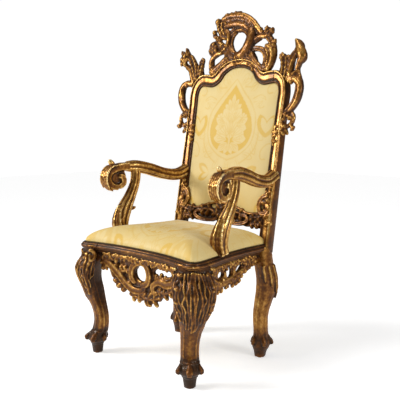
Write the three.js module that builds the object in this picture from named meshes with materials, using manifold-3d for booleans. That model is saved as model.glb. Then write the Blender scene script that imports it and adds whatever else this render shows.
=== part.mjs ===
// A carved and gilded rococo throne armchair: cabriole legs, pierced aprons, scrolled arms and a tall raked
// back with a pierced crest, with an upholstered seat and back. Millimetres, +Z up, +X to the right seen
// from the front, -Y to the front.
import * as THREE from "three";
import { mergeVertices } from "three/addons/utils/BufferGeometryUtils.js";
import Module from "manifold-3d";

const wasm = await Module();
wasm.setup();

// Driving dimensions of the seat frame
const SEAT_HEIGHT = 478;
const RAIL_HEIGHT = 58;
const RAIL_THICKNESS = 42;
const RAIL_OVERHANG = 13;
const APRON_THICKNESS = 22;
const SEAT_FRONT_WIDTH = 670;
const SEAT_WAIST_WIDTH = 560;
const SEAT_REAR_WIDTH = 522;
const SEAT_DEPTH = 520;
const SEAT_FRONT_Y = -368;
const FRONT_RECESS = 36;

// Driving dimensions of the legs
// Each foot stands this far inside the seat's width and depth, and each joint this far from the foot
const FRONT_FEET_INSET = 53;
const REAR_FEET_INSET = 16;
const FRONT_FEET_SETBACK = 31;
const REAR_FEET_SETBACK = 42;
const FRONT_JOINT = 44;
const SIDE_FRONT_JOINT = 62;
const REAR_JOINT = 38;

// Driving dimensions of the back, in its raked plane
const BACK_RAKE = THREE.MathUtils.degToRad(9.9);
const STILE_INSET = 6;
const STILE_WIDTH = 60;
const STILE_TOP_WIDTH = 44;
const STILE_FRONT = 20;
const STILE_BACK = 21;
const SHOULDER_HEIGHT = 714;
const CREST_HEIGHT = 290;
const CREST_JOINT_X = 205;
const CREST_OFFSET = -13;
const LOWER_RAIL_BOTTOM = 58;
const LOWER_RAIL_HEIGHT = 80;

// Driving dimensions of the arms
const ARM_INSET = 18;
const ARM_HEIGHT = 301;
const ARM_REACH = 325;
const ARM_THICKNESS = 54;
const ARM_WIDTH = 50;
const VOLUTE_RADIUS = 58;
const VOLUTE_WIDTH = 60;
const SUPPORT_REACH = 301;
const SUPPORT_WIDTH = 56;

// Driving dimensions of the upholstery
const SEAT_EDGE = 22;
const SEAT_CROWN = 76;
const SEAT_INSET = 5;
const PANEL_FRONT = 8;
const PANEL_BACK = 16;
const PANEL_CROWN = 10;

// Clearance left between pieces that touch
const GAP = 0.3;

const GILT = { color: 0x7d5428, roughness: 0.42, metalness: 0.55 };
const DAMASK = { color: 0xe3c878, roughness: 0.7, metalness: 0 };

const railBottom = SEAT_HEIGHT - RAIL_HEIGHT;
const seatRearY = SEAT_FRONT_Y + SEAT_DEPTH;
const backBaseY = seatRearY - STILE_BACK - 10;
const frontFootX = SEAT_FRONT_WIDTH / 2 - FRONT_FEET_INSET;
const rearFootX = SEAT_REAR_WIDTH / 2 - REAR_FEET_INSET;
const frontFootY = SEAT_FRONT_Y + FRONT_FEET_SETBACK;
const rearFootY = seatRearY - REAR_FEET_SETBACK;
const SIDES = { left: -1, right: 1 };

// The volume inside closed triangles, negative where their faces point inwards
function signedVolume(position, index) {
  const corner = (i) => new THREE.Vector3().fromArray(position, 3 * index[i]);
  let volume = 0;
  for (let i = 0; i < index.length; i += 3) {
    volume += corner(i).dot(corner(i + 1).cross(corner(i + 2))) / 6;
  }
  return volume;
}

// A closed three.js geometry as a solid for joining and cutting
function solid(geometry) {
  const bare = geometry.clone();
  bare.deleteAttribute("normal");
  bare.deleteAttribute("uv");
  const merged = mergeVertices(bare, 1e-4);
  const vertProperties = merged.attributes.position.array;
  const triVerts = new Uint32Array(merged.index.array);
  if (signedVolume(vertProperties, triVerts) < 0) triVerts.reverse();
  return new wasm.Manifold(new wasm.Mesh({ numProp: 3, vertProperties, triVerts }));
}

// The skin through a row of rings that all follow one flat profile, closed at its ends or on itself
function loft(rings, profile, closed = false) {
  const count = profile.length;
  const position = rings.flat().flatMap((p) => [p.x, p.y, p.z]);
  const index = [];
  const rows = closed ? rings.length : rings.length - 1;
  for (let i = 0; i < rows; i++) {
    const here = i * count;
    const next = ((i + 1) % rings.length) * count;
    for (let j = 0; j < count; j++) {
      const k = (j + 1) % count;
      index.push(here + j, here + k, next + k, here + j, next + k, next + j);
    }
  }
  if (!closed) {
    const last = (rings.length - 1) * count;
    const turn = THREE.ShapeUtils.isClockWise(profile) ? -1 : 1;
    for (const [a, b, c] of THREE.ShapeUtils.triangulateShape(profile, [])) {
      const [second, third] = turn > 0 ? [b, c] : [c, b];
      index.push(a, third, second, last + a, last + second, last + third);
    }
  }
  const geometry = new THREE.BufferGeometry();
  geometry.setAttribute("position", new THREE.Float32BufferAttribute(position, 3));
  geometry.setIndex(index);
  return solid(geometry);
}

// A rounded outline of unit reach: 2 is a circle, below it a diamond, above it a square
function roundedOutline(count, power = 2) {
  return Array.from({ length: count }, (_, i) => {
    const angle = Math.PI / 2 + (2 * Math.PI * i) / count;
    const bend = (v) => Math.sign(v) * Math.abs(v) ** (2 / power);
    return new THREE.Vector2(bend(Math.cos(angle)), bend(Math.sin(angle)));
  });
}

// Points on a smooth line through flat points, with the value that goes with each
function smoothLine(points, values, steps, closed = false) {
  const line = new THREE.CatmullRomCurve3(
    points.map(([a, b], i) => new THREE.Vector3(a, b, values[i])), closed, "centripetal");
  const cuts = closed ? steps : steps + 1;
  return Array.from({ length: cuts }, (_, i) => line.getPoint(i / steps));
}

// Sideways directions along a flat row of points
function sideways(row, closed = false) {
  const last = row.length - 1;
  return row.map((_, i) => {
    const before = closed ? row[(i + last) % row.length] : row[Math.max(i - 1, 0)];
    const after = closed ? row[(i + 1) % row.length] : row[Math.min(i + 1, last)];
    return new THREE.Vector2(after.y - before.y, before.x - after.x).normalize();
  });
}

// A carved stroke: a rounded bar that swells and tapers along a line drawn in a plane
function stroke(place, points, radii, { depth = 0, flat = 1, sides = 4, steps, grow = 0 } = {}) {
  const row = smoothLine(points, radii, steps ?? points.length - 1);
  const across = sideways(row);
  const outline = roundedOutline(sides);
  const rings = row.map((p, i) => outline.map((o) => {
    const reach = o.x * (p.z + grow);
    return place(p.x + across[i].x * reach, p.y + across[i].y * reach, depth + o.y * (p.z * flat + grow));
  }));
  return loft(rings, outline);
}

// A moulding: a profile of (across, depth) swept along a line drawn in a plane
function moulding(place, row, profile, widths, closed = false) {
  const across = sideways(row, closed);
  const rings = row.map((p, i) => profile.map((o) => place(
    p.x + across[i].x * o.x * widths[i], p.y + across[i].y * o.x * widths[i], o.y)));
  return loft(rings, profile, closed);
}

// A pierced board: an outline with openings, drawn in a plane and cut to a thickness
function board(place, outline, openings, back, front) {
  const shape = new THREE.Shape(outline.map(([x, y]) => new THREE.Vector2(x, y)));
  shape.holes = openings.map((ring) => new THREE.Path(ring.map(([x, y]) => new THREE.Vector2(x, y))));
  const geometry = new THREE.ExtrudeGeometry(shape, { depth: front - back, bevelEnabled: false });
  const spots = geometry.attributes.position;
  for (let i = 0; i < spots.count; i++) {
    const spot = place(spots.getX(i), spots.getY(i), back + spots.getZ(i));
    spots.setXYZ(i, spot.x, spot.y, spot.z);
  }
  return solid(geometry);
}

const ovalRing = (x, y, halfWidth, halfHeight, count = 8) => Array.from({ length: count }, (_, i) => {
  const angle = (2 * Math.PI * (i + 0.5)) / count;
  return [x + halfWidth * Math.cos(angle), y + halfHeight * Math.sin(angle)];
});

function block(low, high) {
  const size = high.map((v, i) => v - low[i]);
  const geometry = new THREE.BoxGeometry(...size);
  geometry.translate(...low.map((v, i) => v + size[i] / 2));
  return solid(geometry);
}

const joined = (pieces) => pieces.reduce((all, piece) => all.add(piece));

// Places in the raked plane of the back: across, up from the seat, and out to the front
function onBack(x, up, front) {
  return new THREE.Vector3(
    x,
    backBaseY + up * Math.sin(BACK_RAKE) - front * Math.cos(BACK_RAKE),
    SEAT_HEIGHT + up * Math.cos(BACK_RAKE) + front * Math.sin(BACK_RAKE));
}

// Seat frame: one moulded band round the seat, cut at the joints
const frontHalf = SEAT_FRONT_WIDTH / 2;
const waistHalf = SEAT_WAIST_WIDTH / 2;
const rearHalf = SEAT_REAR_WIDTH / 2;
const halfPlan = [
  [0, SEAT_FRONT_Y + FRONT_RECESS],
  [0.42 * frontHalf, SEAT_FRONT_Y + 0.84 * FRONT_RECESS],
  [0.72 * frontHalf, SEAT_FRONT_Y + 0.36 * FRONT_RECESS],
  [0.96 * frontHalf, SEAT_FRONT_Y],
  [frontHalf, SEAT_FRONT_Y + 0.05 * SEAT_DEPTH],
  [0.3 * waistHalf + 0.7 * frontHalf, SEAT_FRONT_Y + 0.22 * SEAT_DEPTH],
  [0.78 * waistHalf + 0.22 * frontHalf, SEAT_FRONT_Y + 0.42 * SEAT_DEPTH],
  [waistHalf - 6, SEAT_FRONT_Y + 0.64 * SEAT_DEPTH],
  [0.7 * rearHalf + 0.3 * waistHalf, SEAT_FRONT_Y + 0.84 * SEAT_DEPTH],
  [rearHalf, seatRearY - 14],
  [rearHalf - 16, seatRearY],
  [0.5 * rearHalf, seatRearY],
];
const wholePlan = [
  ...halfPlan,
  [0, seatRearY],
  ...halfPlan.slice(1).reverse().map(([x, y]) => [-x, y]),
];
const planRow = smoothLine(wholePlan, wholePlan.map(() => 0), 40, true);
// Across runs outwards from the board's face, depth runs down from the top of the rail
const railProfile = [
  [-RAIL_THICKNESS, -RAIL_HEIGHT], [-4, -RAIL_HEIGHT], [-3, -0.62 * RAIL_HEIGHT],
  [RAIL_OVERHANG, -0.42 * RAIL_HEIGHT],
  [RAIL_OVERHANG, -0.15 * RAIL_HEIGHT], [0.2 * RAIL_OVERHANG, 0],
  [-RAIL_THICKNESS, 0],
].map(([x, y]) => new THREE.Vector2(x, y));
const onPlan = (x, y, drop) => new THREE.Vector3(x, y, SEAT_HEIGHT + drop);
const seatBand = moulding(onPlan, planRow, railProfile, planRow.map(() => 1), true);

// Where the rails end against the legs and posts
const frontJointX = frontFootX - FRONT_JOINT;
const sideFrontJointY = frontFootY + SIDE_FRONT_JOINT;
const sideRearJointY = rearFootY - REAR_JOINT;
const rearJointX = rearFootX - REAR_JOINT;
const FAR = 2000;
const under = SEAT_HEIGHT - FAR;
const over = SEAT_HEIGHT + FAR;

// The rail's outer face at a place along the front or the side
function planEdge(at, axis) {
  const other = axis === "x" ? "y" : "x";
  const row = planRow.filter((p) => (axis === "x" ? p.y < SEAT_FRONT_Y + SEAT_DEPTH / 4 : p.x > 0));
  const near = [...row].sort((a, b) => Math.abs(a[axis] - at) - Math.abs(b[axis] - at)).slice(0, 2);
  const span = near[1][axis] - near[0][axis];
  const share = Math.abs(span) < 1e-6 ? 0 : (at - near[0][axis]) / span;
  return near[0][other] + share * (near[1][other] - near[0][other]);
}

// Places under the front rail and under a side rail, that follow its bend
const apronSet = RAIL_THICKNESS / 2 - 3;
const onFront = (x, z, front) => new THREE.Vector3(x, planEdge(x, "x") + apronSet - front, z);
const onSide = (side) => (y, z, out) => new THREE.Vector3(side * (planEdge(y, "y") - apronSet + out), y, z);

// Pierced apron under the front rail: a leafy rim with an oval opening in a ring, in shares of its own size
const apronAcross = (frontJointX + 6) / 24.4;
const apronDown = RAIL_HEIGHT / 5.8;
const apronBack = -APRON_THICKNESS / 2;
const apronFront = APRON_THICKNESS / 2;
const apronPoint = ([x, z]) => [x * apronAcross, SEAT_HEIGHT + (z - 48.6) * apronDown];
const frontRim = [
  [24.4, 44], [16, 44], [8, 44], [0, 44], [-8, 44], [-16, 44], [-24.4, 44], [-24.4, 39.5],
  [-21.5, 38.4], [-19.8, 35.4],
  [-18.2, 36.6], [-16.4, 33.4], [-14.4, 34.6], [-12.6, 31.2], [-10.6, 32.8], [-9.4, 29.2], [-7.2, 30.2],
  [-5.4, 27.8],
  [-3, 28.8], [-0.6, 27.2], [1.6, 28.2], [4.4, 27.4], [6.4, 28.8], [9.2, 28.2], [10.4, 30.2],
  [13, 30.4], [12.6, 32.2],
  [15.8, 32.4], [17, 34.4], [20, 34.2], [19.4, 36.2], [24.4, 37.4],
];
const frontOpenings = [
  ovalRing(-1.5, 38.5, 3.5, 3.1),
  [[6.2, 40.4], [9, 42], [14, 42.2], [17.4, 41.4], [16, 39.6], [11, 39.2], [7.4, 38.8]],
  [[-15, 41.6], [-12, 41.8], [-11.6, 40], [-14.2, 39.4]],
  [[8.4, 34.4], [10.4, 35.6], [12.8, 35], [11, 33.4]],
];
const frontStrokes = [
  {
    line: [[-1.5, 33.6], [3, 35.4], [4, 39.4], [1.4, 42.6], [-2.6, 42.8], [-6, 40.4], [-6.6, 37], [-4.4, 34]],
    girth: [1.2, 1.5, 1.6, 1.4, 1.4, 1.5, 1.5, 1],
  },
  { line: [[-21, 40], [-9.6, 34.2], [-4.6, 31], [2, 30.4], [8, 31.4]], girth: [1.1, 1.6, 1.6, 1.4, 0.8] },
];
function apron(place, placed, rim, openings, strokes) {
  return joined([
    board(place, rim.map(placed), openings.map((ring) => ring.map(placed)), apronBack, apronFront),
    ...strokes.map(({ line, girth }) => stroke(
      place, line.map(placed), girth.map((g) => g * apronDown), { depth: 0.7 * apronFront })),
  ]);
}
const frontApron = () => apron(onFront, apronPoint, frontRim, frontOpenings, frontStrokes);

// Pierced apron under a side rail, in shares of the length between its legs
const sideMiddle = (sideFrontJointY + sideRearJointY) / 2;
const sideAlong = (sideRearJointY - sideFrontJointY + 12) / 35.8;
const sidePoint = ([y, z]) => [sideMiddle + y * sideAlong, SEAT_HEIGHT + (z - 48.6) * apronDown];
const sideRim = [
  [17.9, 44], [9, 44], [0, 44], [-9, 44], [-17.9, 44], [-17.9, 38.4], [-13.8, 37], [-12, 33.8], [-10.2, 35.8],
  [-8.6, 33.2], [-6.6, 36], [-4.6, 36.6], [-2.6, 33.6], [-0.8, 36], [1.6, 34.8], [3.4, 36.6], [6, 36.2],
  [7.2, 37.8],
  [10, 37.8], [12.4, 39.6], [17.9, 40.6],
];
const sideOpenings = [
  ovalRing(-1.2, 40.2, 1.7, 2.1, 7),
  ovalRing(-7.3, 40.4, 1.8, 1.2, 6),
  [[3, 39.2], [4.4, 39.2], [7.6, 41.8], [6.2, 42.2]],
];
const sideStrokes = [
  { line: [[-14, 40], [-10, 37.6], [-3, 37.4], [10, 40.2]], girth: [1, 1.3, 1.2, 0.9] },
];
const sideApron = (side) => apron(onSide(side), sidePoint, sideRim, sideOpenings, sideStrokes);

// Cabriole legs: rows of height, inner and outer reach on the diagonal, half width and sideways lean
const legUnit = railBottom / 42.8;
const frontLegRows = [
  [0, -2.2, 2.1, 2.2, 0], [4.4, -2.8, 2.9, 3, 0], [5.6, -3.8, 4, 4.2, 0], [7.2, -4, 4.2, 4.2, 0],
  [10, -4.6, 2.4, 3.7, 0], [15, -5, 1.4, 3.6, 0], [20, -4.3, 2.4, 4, 0.4], [24, -3.5, 4.4, 4.8, 1],
  [28.5, -2.7, 6.1, 5.8, 1.6], [32.4, -1.9, 7.8, 6.8, 1.8], [36.4, -2, 8.9, 7.4, 1.8],
  [39.4, -2.9, 8.2, 7.4, 1.6],
  [41.8, -3.4, 6.2, 7, 1.4],
];
const rearLegRows = [
  [0, -2.5, 2.2, 2.4, 0], [2.4, -2.8, 2.8, 2.7, 0], [4.4, -3.5, 3.9, 3.3, 0], [6.4, -3.6, 4.4, 3.6, 0],
  [9.4, -3.1, 3.5, 3.3, 0], [18, -3.3, 3.3, 3.2, 0], [23, -2.9, 4.6, 3.6, 0], [28.5, -2.2, 6.4, 4.2, 0],
  [34, -2.1, 6.5, 4.6, 0], [40.5, -3, 5.2, 4.5, 0],
];
// The sections are soft-cornered, and the front knees are carved into upright ribs of leaf
const frontLegSection = roundedOutline(12, 1.5);
const rearLegSection = roundedOutline(8, 1.6);
const ribbed = (level, i) => (i % 3 === 1 ? 1 - 0.16 * THREE.MathUtils.smoothstep(level, 20, 30) : 1);
function leg(rows, section, footX, footY, side, facing) {
  const rib = section === frontLegSection ? ribbed : () => 1;
  const outward = new THREE.Vector2(side, facing).normalize();
  const sidewards = new THREE.Vector2(side, -facing).normalize();
  const top = rows[rows.length - 1];
  const levels = [...rows, [(SEAT_HEIGHT + 4) / legUnit, ...top.slice(1)]];
  const rings = levels.map(([level, inner, outer, half, lean]) => section.map((o, i) => {
    const along = legUnit * ((inner + outer) / 2 + (o.y * rib(level, i) * (outer - inner)) / 2);
    const aside = legUnit * (o.x * rib(level, i) * half + lean);
    return new THREE.Vector3(
      side * footX + outward.x * along + sidewards.x * aside,
      footY + outward.y * along + sidewards.y * aside, level * legUnit);
  }));
  const body = loft(rings, section);
  const toes = [[3.9, 0], [0.2, 3.9], [0.2, -3.9]].map(([along, aside]) => {
    const toe = new THREE.SphereGeometry(1.35 * legUnit, 5, 3);
    toe.translate(
      side * footX + legUnit * (outward.x * along + sidewards.x * aside),
      footY + legUnit * (outward.y * along + sidewards.y * aside), 6.3 * legUnit);
    return solid(toe);
  });
  return joined([body, ...toes]);
}

// A corner of the seat frame, with the small pointed ear at the front corners
function corner(side, low, high) {
  const xs = side < 0 ? [-FAR, -low[0]] : [low[0], FAR];
  return seatBand.intersect(block([xs[0], low[1], under], [xs[1], high, over]));
}
function ear(side) {
  const place = (a, z, aside) => new THREE.Vector3(
    side * (0.95 * frontHalf + a * Math.SQRT1_2) + side * aside * Math.SQRT1_2,
    SEAT_FRONT_Y + 14 - a * Math.SQRT1_2 + aside * Math.SQRT1_2, z);
  const tipZ = SEAT_HEIGHT - 0.3 * RAIL_HEIGHT;
  return stroke(place, [[-14, tipZ + 2], [12, tipZ], [28, tipZ + 3]], [10, 9, 4], { steps: 3, flat: 1.4 });
}
function frontLeg(side) {
  const body = leg(frontLegRows, frontLegSection, frontFootX, frontFootY, side, -1);
  return joined([body, corner(side, [frontJointX + GAP, -FAR], sideFrontJointY - GAP), ear(side)])
    .intersect(block([-FAR, -FAR, 0], [FAR, FAR, SEAT_HEIGHT]));
}

// The moulded frame of the back: a stile each side, and the top rail that arches between notched shoulders
const stileX = SEAT_REAR_WIDTH / 2 - STILE_INSET;
const crestUnit = CREST_HEIGHT / 29;
const crestPoint = ([x, up]) => [x * crestUnit, SHOULDER_HEIGHT + up * crestUnit];
const archLine = [
  [25.6, -13], [25.6, -8], [24.4, -4.4], [21.6, -2.2], [18.2, -2.2], [14.8, -2.6], [12.2, -1.4],
  [9.4, 1.6], [5.2, 3.9],
];
const stileLine = [
  [stileX, -SEAT_HEIGHT * 0.1], [stileX, SHOULDER_HEIGHT * 0.36], [stileX, SHOULDER_HEIGHT * 0.74]];
const frameHalf = [
  ...stileLine.map(([x, up], i) => ({
    at: [x, up], half: THREE.MathUtils.lerp(STILE_WIDTH, STILE_TOP_WIDTH, i / 2) / 2 })),
  ...archLine.map((p, i) => ({
    at: crestPoint(p), half: (STILE_TOP_WIDTH / 2) * [1, 1, 1.05, 1.2, 1.27, 1.2, 1.1, 0.95, 0.86][i] })),
];
const frameLine = [
  ...frameHalf,
  { at: crestPoint([0, 4.7]), half: (STILE_TOP_WIDTH / 2) * 0.84 },
  ...[...frameHalf].reverse().map(({ at: [x, up], half }) => ({ at: [-x, up], half })),
];
const frameRow = smoothLine(frameLine.map((p) => p.at), frameLine.map((p) => p.half), 30);
// The path runs from the right foot of the frame over the top to the left, so across is outwards
function frameProfile(grow) {
  const edge = 1 + grow / 24;
  return [
    [-edge, -STILE_BACK - grow], [edge, -STILE_BACK - grow], [edge, 0.35 * STILE_FRONT + grow],
    [0.5, STILE_FRONT + grow], [-0.4, 0.55 * STILE_FRONT + grow], [-edge, 0.5 * STILE_FRONT + grow],
  ].map(([x, y]) => new THREE.Vector2(x, y));
}
const backFrame = (grow = 0) => moulding(onBack, frameRow, frameProfile(grow), frameRow.map((p) => p.z));
const backBlock = (low, high) => {
  const inPlane = block(low, high).getMesh();
  const turned = new THREE.BufferGeometry();
  turned.setAttribute("position", new THREE.Float32BufferAttribute(inPlane.vertProperties, 3));
  turned.setIndex([...inPlane.triVerts]);
  const spots = turned.attributes.position;
  for (let i = 0; i < spots.count; i++) {
    const spot = onBack(spots.getX(i), spots.getZ(i), -spots.getY(i));
    spots.setXYZ(i, spot.x, spot.y, spot.z);
  }
  return solid(turned);
};

// Carving beside each shoulder: a bracket scroll with a small ring below it
const beside = (side) => (x, up, front) => onBack(side * (stileX + x), up, front);

const bracketStrokes = [
  {
    line: [[1.5, -4.2], [5, -3.2], [8.3, -3.9], [9.5, -7], [8.8, -11.4], [6.4, -15], [2.4, -18]],
    girth: [1.3, 1.4, 1.7, 1.9, 1.9, 1.7, 1.5],
  },
  {
    line: [[2.4, -16.6], [5.8, -17], [8, -18.8], [7.6, -21.2], [5.4, -22.8], [2, -22.4]],
    girth: [1.1, 1, 1, 1, 1, 1.1],
  },
  { line: [[7, -21.6], [7.8, -23], [8.6, -23.8]], girth: [0.9, 0.8, 0.4] },
  { line: [[1.6, -23], [4, -24.6], [6, -26.4]], girth: [1.6, 1.2, 0.6] },
];
// Left shoulder: an open flower on a bent stem. Right shoulder: a tall curled horn of leaf
const flowerStrokes = [
  { line: [[2, -2.6], [4, 1], [4.6, 3.8], [7, 5.6], [10, 6.8]], girth: [1.7, 1.3, 0.9, 0.9, 1.4] },
  { line: [[0.5, 0], [2.4, 4.6], [4.6, 8.4], [7, 11]], girth: [2.2, 2, 1.4, 1.3] },
  { line: [[10, 6.6], [11.2, 9], [9.2, 11.6]], girth: [1.6, 1.9, 1.7] },
  { line: [[7, 10], [9, 12.4], [9.4, 14.6]], girth: [1.4, 1.3, 0.6] },
  { line: [[9.6, 10.4], [11.6, 12], [12.4, 13.4]], girth: [1.5, 1.2, 0.6] },
  { line: [[-2.5, -0.4], [-1.2, 4], [-1.8, 7.8], [-2.4, 9.2]], girth: [1.8, 1.5, 1.3, 1] },
];
const hornStrokes = [
  { line: [[1.4, -2.8], [2.4, 2], [3.2, 6.6], [5.6, 9.6]], girth: [2, 1.9, 1.7, 1.5] },
  { line: [[5, 9.6], [8.2, 8.2], [9.2, 6], [7.6, 4]], girth: [1.6, 1.8, 1.5, 0.8] },
  { line: [[4.2, 7.8], [6.6, 10.4], [5.6, 12.6], [3.9, 14.2]], girth: [1.6, 2.1, 1.5, 0.5] },
  { line: [[7.8, 4.4], [7, 1.4], [8, -1.4], [8.8, -4.6]], girth: [1, 0.9, 1.1, 1.5] },
  { line: [[-1.6, -1.6], [-1.2, 3.6], [-1.8, 7.4], [-3, 8.4]], girth: [2, 1.6, 1.3, 0.6] },
  { line: [[0.2, -1], [0.8, 4.4], [0.2, 8.2]], girth: [1.8, 1.6, 1] },
];
function shoulderCarving(side) {
  const reach = side < 0 ? 1 : 0.86;
  const drop = side < 0 ? 0.6 : 1.2;
  const carve = (strokes, placed) => strokes.map(({ line, girth }) => stroke(
    beside(side), line.map(placed), girth.map((g) => g * crestUnit), { flat: 0.85, depth: 1 }));
  return joined([
    ...carve(bracketStrokes, ([x, up]) => crestPoint([x * reach, up])),
    ...carve(side < 0 ? flowerStrokes : hornStrokes,
      ([x, up]) => crestPoint([x * (0.5 + 0.5 * reach), up - drop])),
  ]);
}

function rearPost(side) {
  const shank = leg(rearLegRows, rearLegSection, rearFootX, rearFootY, side, 1);
  const half = side < 0
    ? backBlock([-FAR, -FAR, -FAR], [-CREST_JOINT_X - GAP, FAR, FAR])
    : backBlock([CREST_JOINT_X + GAP, -FAR, -FAR], [FAR, FAR, FAR]);
  const stile = joined([backFrame(), shoulderCarving(side)]).intersect(half)
    .intersect(block([-FAR, -FAR, railBottom + 6], [FAR, FAR, over]));
  const seatCorner = corner(side, [rearJointX, sideRearJointY + GAP], FAR);
  const below = joined([shank, seatCorner]).intersect(block([-FAR, -FAR, 0], [FAR, FAR, SEAT_HEIGHT]));
  return joined([below, stile]);
}

// The pierced crest over the top rail, in shares of its own height, standing to the left of the middle
const crownPoint = ([x, up]) => {
  const [a, b] = crestPoint([x, up - 0.8]);
  return [a + CREST_OFFSET, b];
};
const crestStrokes = [
  // ring round the oval opening
  { line: [[-2, 9.4], [-5.4, 11.4], [-6.9, 15], [-6, 19], [-3, 21.2]], girth: [1.7, 1.5, 1.4, 1.6, 1.8] },
  {
    line: [[-3.4, 9.4], [1, 9.4], [4.6, 11.6], [5.9, 15.4], [4.6, 19], [1, 21.2], [-4, 21.4]],
    girth: [1.6, 1.8, 2, 2.1, 2, 1.9, 1.9],
  },
  // shell hood with its raised edge
  {
    line: [[-13.2, 25.6], [-8.6, 26.9], [-3, 27], [2, 25.2], [6.2, 22.2], [9.4, 19], [12, 17]],
    girth: [1.4, 1.7, 1.7, 1.6, 1.5, 1.4, 1.3],
  },
  { line: [[-12.6, 23.4], [-8, 23.9], [-2, 24], [4.4, 21.6], [8, 16]], girth: [1.6, 2.3, 2.5, 2.2, 1.6] },
  { line: [[-14.4, 25.6], [-13.2, 21.8], [-11, 19.2], [-8, 17.4]], girth: [1.9, 1.8, 1.9, 1.5] },
  { line: [[-9.4, 26.2], [-10.6, 28.2], [-11.2, 28.8]], girth: [1.1, 0.7, 0.3] },
  { line: [[-4.8, 26.8], [-2.8, 28.2], [-1.4, 28.9]], girth: [1.4, 1.1, 0.4] },
  // foot of the ring, on the top rail
  { line: [[-8.4, 12], [-6, 8.2], [-2, 6.6], [2.4, 6.8], [6, 9]], girth: [1.3, 1.9, 2.1, 2, 1.7] },
  { line: [[5.4, 10.4], [8.2, 7.8], [10.4, 4.6], [13.4, 2], [16.4, 0.8]], girth: [1.9, 1.8, 1.6, 1.6, 1.5] },
  {
    line: [[-5.6, 9.6], [-8.2, 7], [-10.6, 5.4], [-13.6, 3.4], [-15.8, 0.6]],
    girth: [1.7, 1.5, 1.6, 1.7, 1.5],
  },
  // left leafy scroll
  {
    line: [[-15.6, 1.6], [-15.8, 5], [-16, 8.6], [-13, 10.6], [-10, 11.4], [-7.6, 12.4]],
    girth: [1.4, 1.4, 1.3, 1.3, 1.2, 1.1],
  },
  { line: [[-18, 12.6], [-16.6, 14.6], [-13.8, 14.6], [-11.6, 12.2]], girth: [1.1, 1.8, 1.7, 1.2] },
  { line: [[-17.8, 14], [-17.4, 11.6], [-15.6, 10.2]], girth: [1.3, 1.3, 1.2] },
  { line: [[-9.4, 12.4], [-12, 15.4], [-14, 17.4], [-15.6, 18.6]], girth: [1.2, 1.2, 1.2, 1.2] },
  { line: [[-15.2, 18], [-16.4, 19.6], [-15.8, 20.8]], girth: [1.2, 1.2, 0.8] },
  // right leafy scroll
  {
    line: [[16.4, 1], [18.6, 3.8], [19.6, 7.6], [18.9, 11.4], [17.2, 14.4], [14.8, 16.8]],
    girth: [1.6, 1.5, 1.6, 1.6, 1.6, 1.6],
  },
  { line: [[12, 17], [14.4, 17], [15.6, 18.6], [14.8, 20.2]], girth: [1.4, 1.6, 1.4, 0.8] },
  { line: [[15.6, 17], [17.2, 18.4], [17.6, 20]], girth: [1.4, 1.1, 0.5] },
  { line: [[17.4, 13.8], [19, 14.2], [20.2, 14.6]], girth: [1.2, 0.8, 0.4] },
  { line: [[6, 13.4], [12, 16.6]], girth: [1.2, 1.3] },
  {
    line: [[7, 11.4], [10.6, 11.4], [13.6, 10.2], [15.2, 7.4], [15.2, 4], [16.2, 1.4]],
    girth: [1.3, 1.3, 1.3, 1.2, 1.2, 1.4],
  },
];
function crestRail() {
  const carving = joined(crestStrokes.map(({ line, girth }) => stroke(
    onBack, line.map(crownPoint), girth.map((g) => g * crestUnit),
    { flat: 0.85, depth: 2 })));
  return joined([backFrame(), carving])
    .intersect(backBlock([-CREST_JOINT_X, -FAR, SHOULDER_HEIGHT - CREST_HEIGHT / 2],
      [CREST_JOINT_X, FAR, FAR]));
}

// Lower rail of the back: a carved bar with a raised middle and a scalloped lower edge
const lowerHalf = stileX;
const lowerTop = LOWER_RAIL_BOTTOM + LOWER_RAIL_HEIGHT;
function lowerRailOutline(grow) {
  const edge = [];
  const scallops = 7;
  for (let i = 0; i <= 3 * scallops; i++) {
    const x = -lowerHalf + (2 * lowerHalf * i) / (3 * scallops);
    const dip = 0.12 * LOWER_RAIL_HEIGHT * Math.abs(Math.sin((i * Math.PI) / 3));
    edge.push([x, LOWER_RAIL_BOTTOM + 0.1 * LOWER_RAIL_HEIGHT - dip - grow]);
  }
  const top = [[1, 0.25], [0.86, 0.02], [0.6, -0.08], [0.36, 0.14], [0.16, 0.3], [0, 0.34]];
  const rise = [...top, ...top.slice(0, -1).reverse().map(([x, h]) => [-x, h])];
  edge.push(...rise.map(([x, h]) =>
    [x * lowerHalf, lowerTop - 0.2 * LOWER_RAIL_HEIGHT + h * LOWER_RAIL_HEIGHT + grow]));
  return edge.map(([x, up]) => new THREE.Vector2(x, up));
}
function lowerRailBar(grow = 0) {
  const outline = lowerRailOutline(grow);
  const layers = [-0.8 * STILE_BACK - grow, 0.55 * STILE_FRONT + grow, 0.85 * STILE_FRONT + grow];
  const middle = LOWER_RAIL_BOTTOM + LOWER_RAIL_HEIGHT / 2;
  const rings = layers.map((front, i) => outline.map((p) =>
    onBack(p.x, i === 2 ? middle + (p.y - middle) * 0.8 : p.y, front)));
  return loft(rings, outline);
}
function lowerRail() {
  const leafLine = [[-0.62, 0.42], [-0.3, 0.5], [0, 0.62], [0.3, 0.5], [0.62, 0.42]];
  const leaf = stroke(onBack,
    leafLine.map(([x, h]) => [x * lowerHalf, LOWER_RAIL_BOTTOM + h * LOWER_RAIL_HEIGHT]),
    [8, 13, 17, 13, 8], { depth: 0.6 * STILE_FRONT, steps: 6, flat: 0.8 });
  return joined([lowerRailBar(), leaf]).subtract(backFrame(GAP));
}

// Arms: a moulded bar from the post over a rise to a curled volute, on a scrolled support
const armUp = ARM_HEIGHT / 30.1;
const armAlong = ARM_REACH / 32.5;
const armHalfWidth = ARM_WIDTH / 2;
const voluteY = backBaseY - ARM_REACH;
const armRootY = backBaseY + 4.9 * armAlong;
const voluteZ = SEAT_HEIGHT + 25.6 * armUp;
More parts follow.
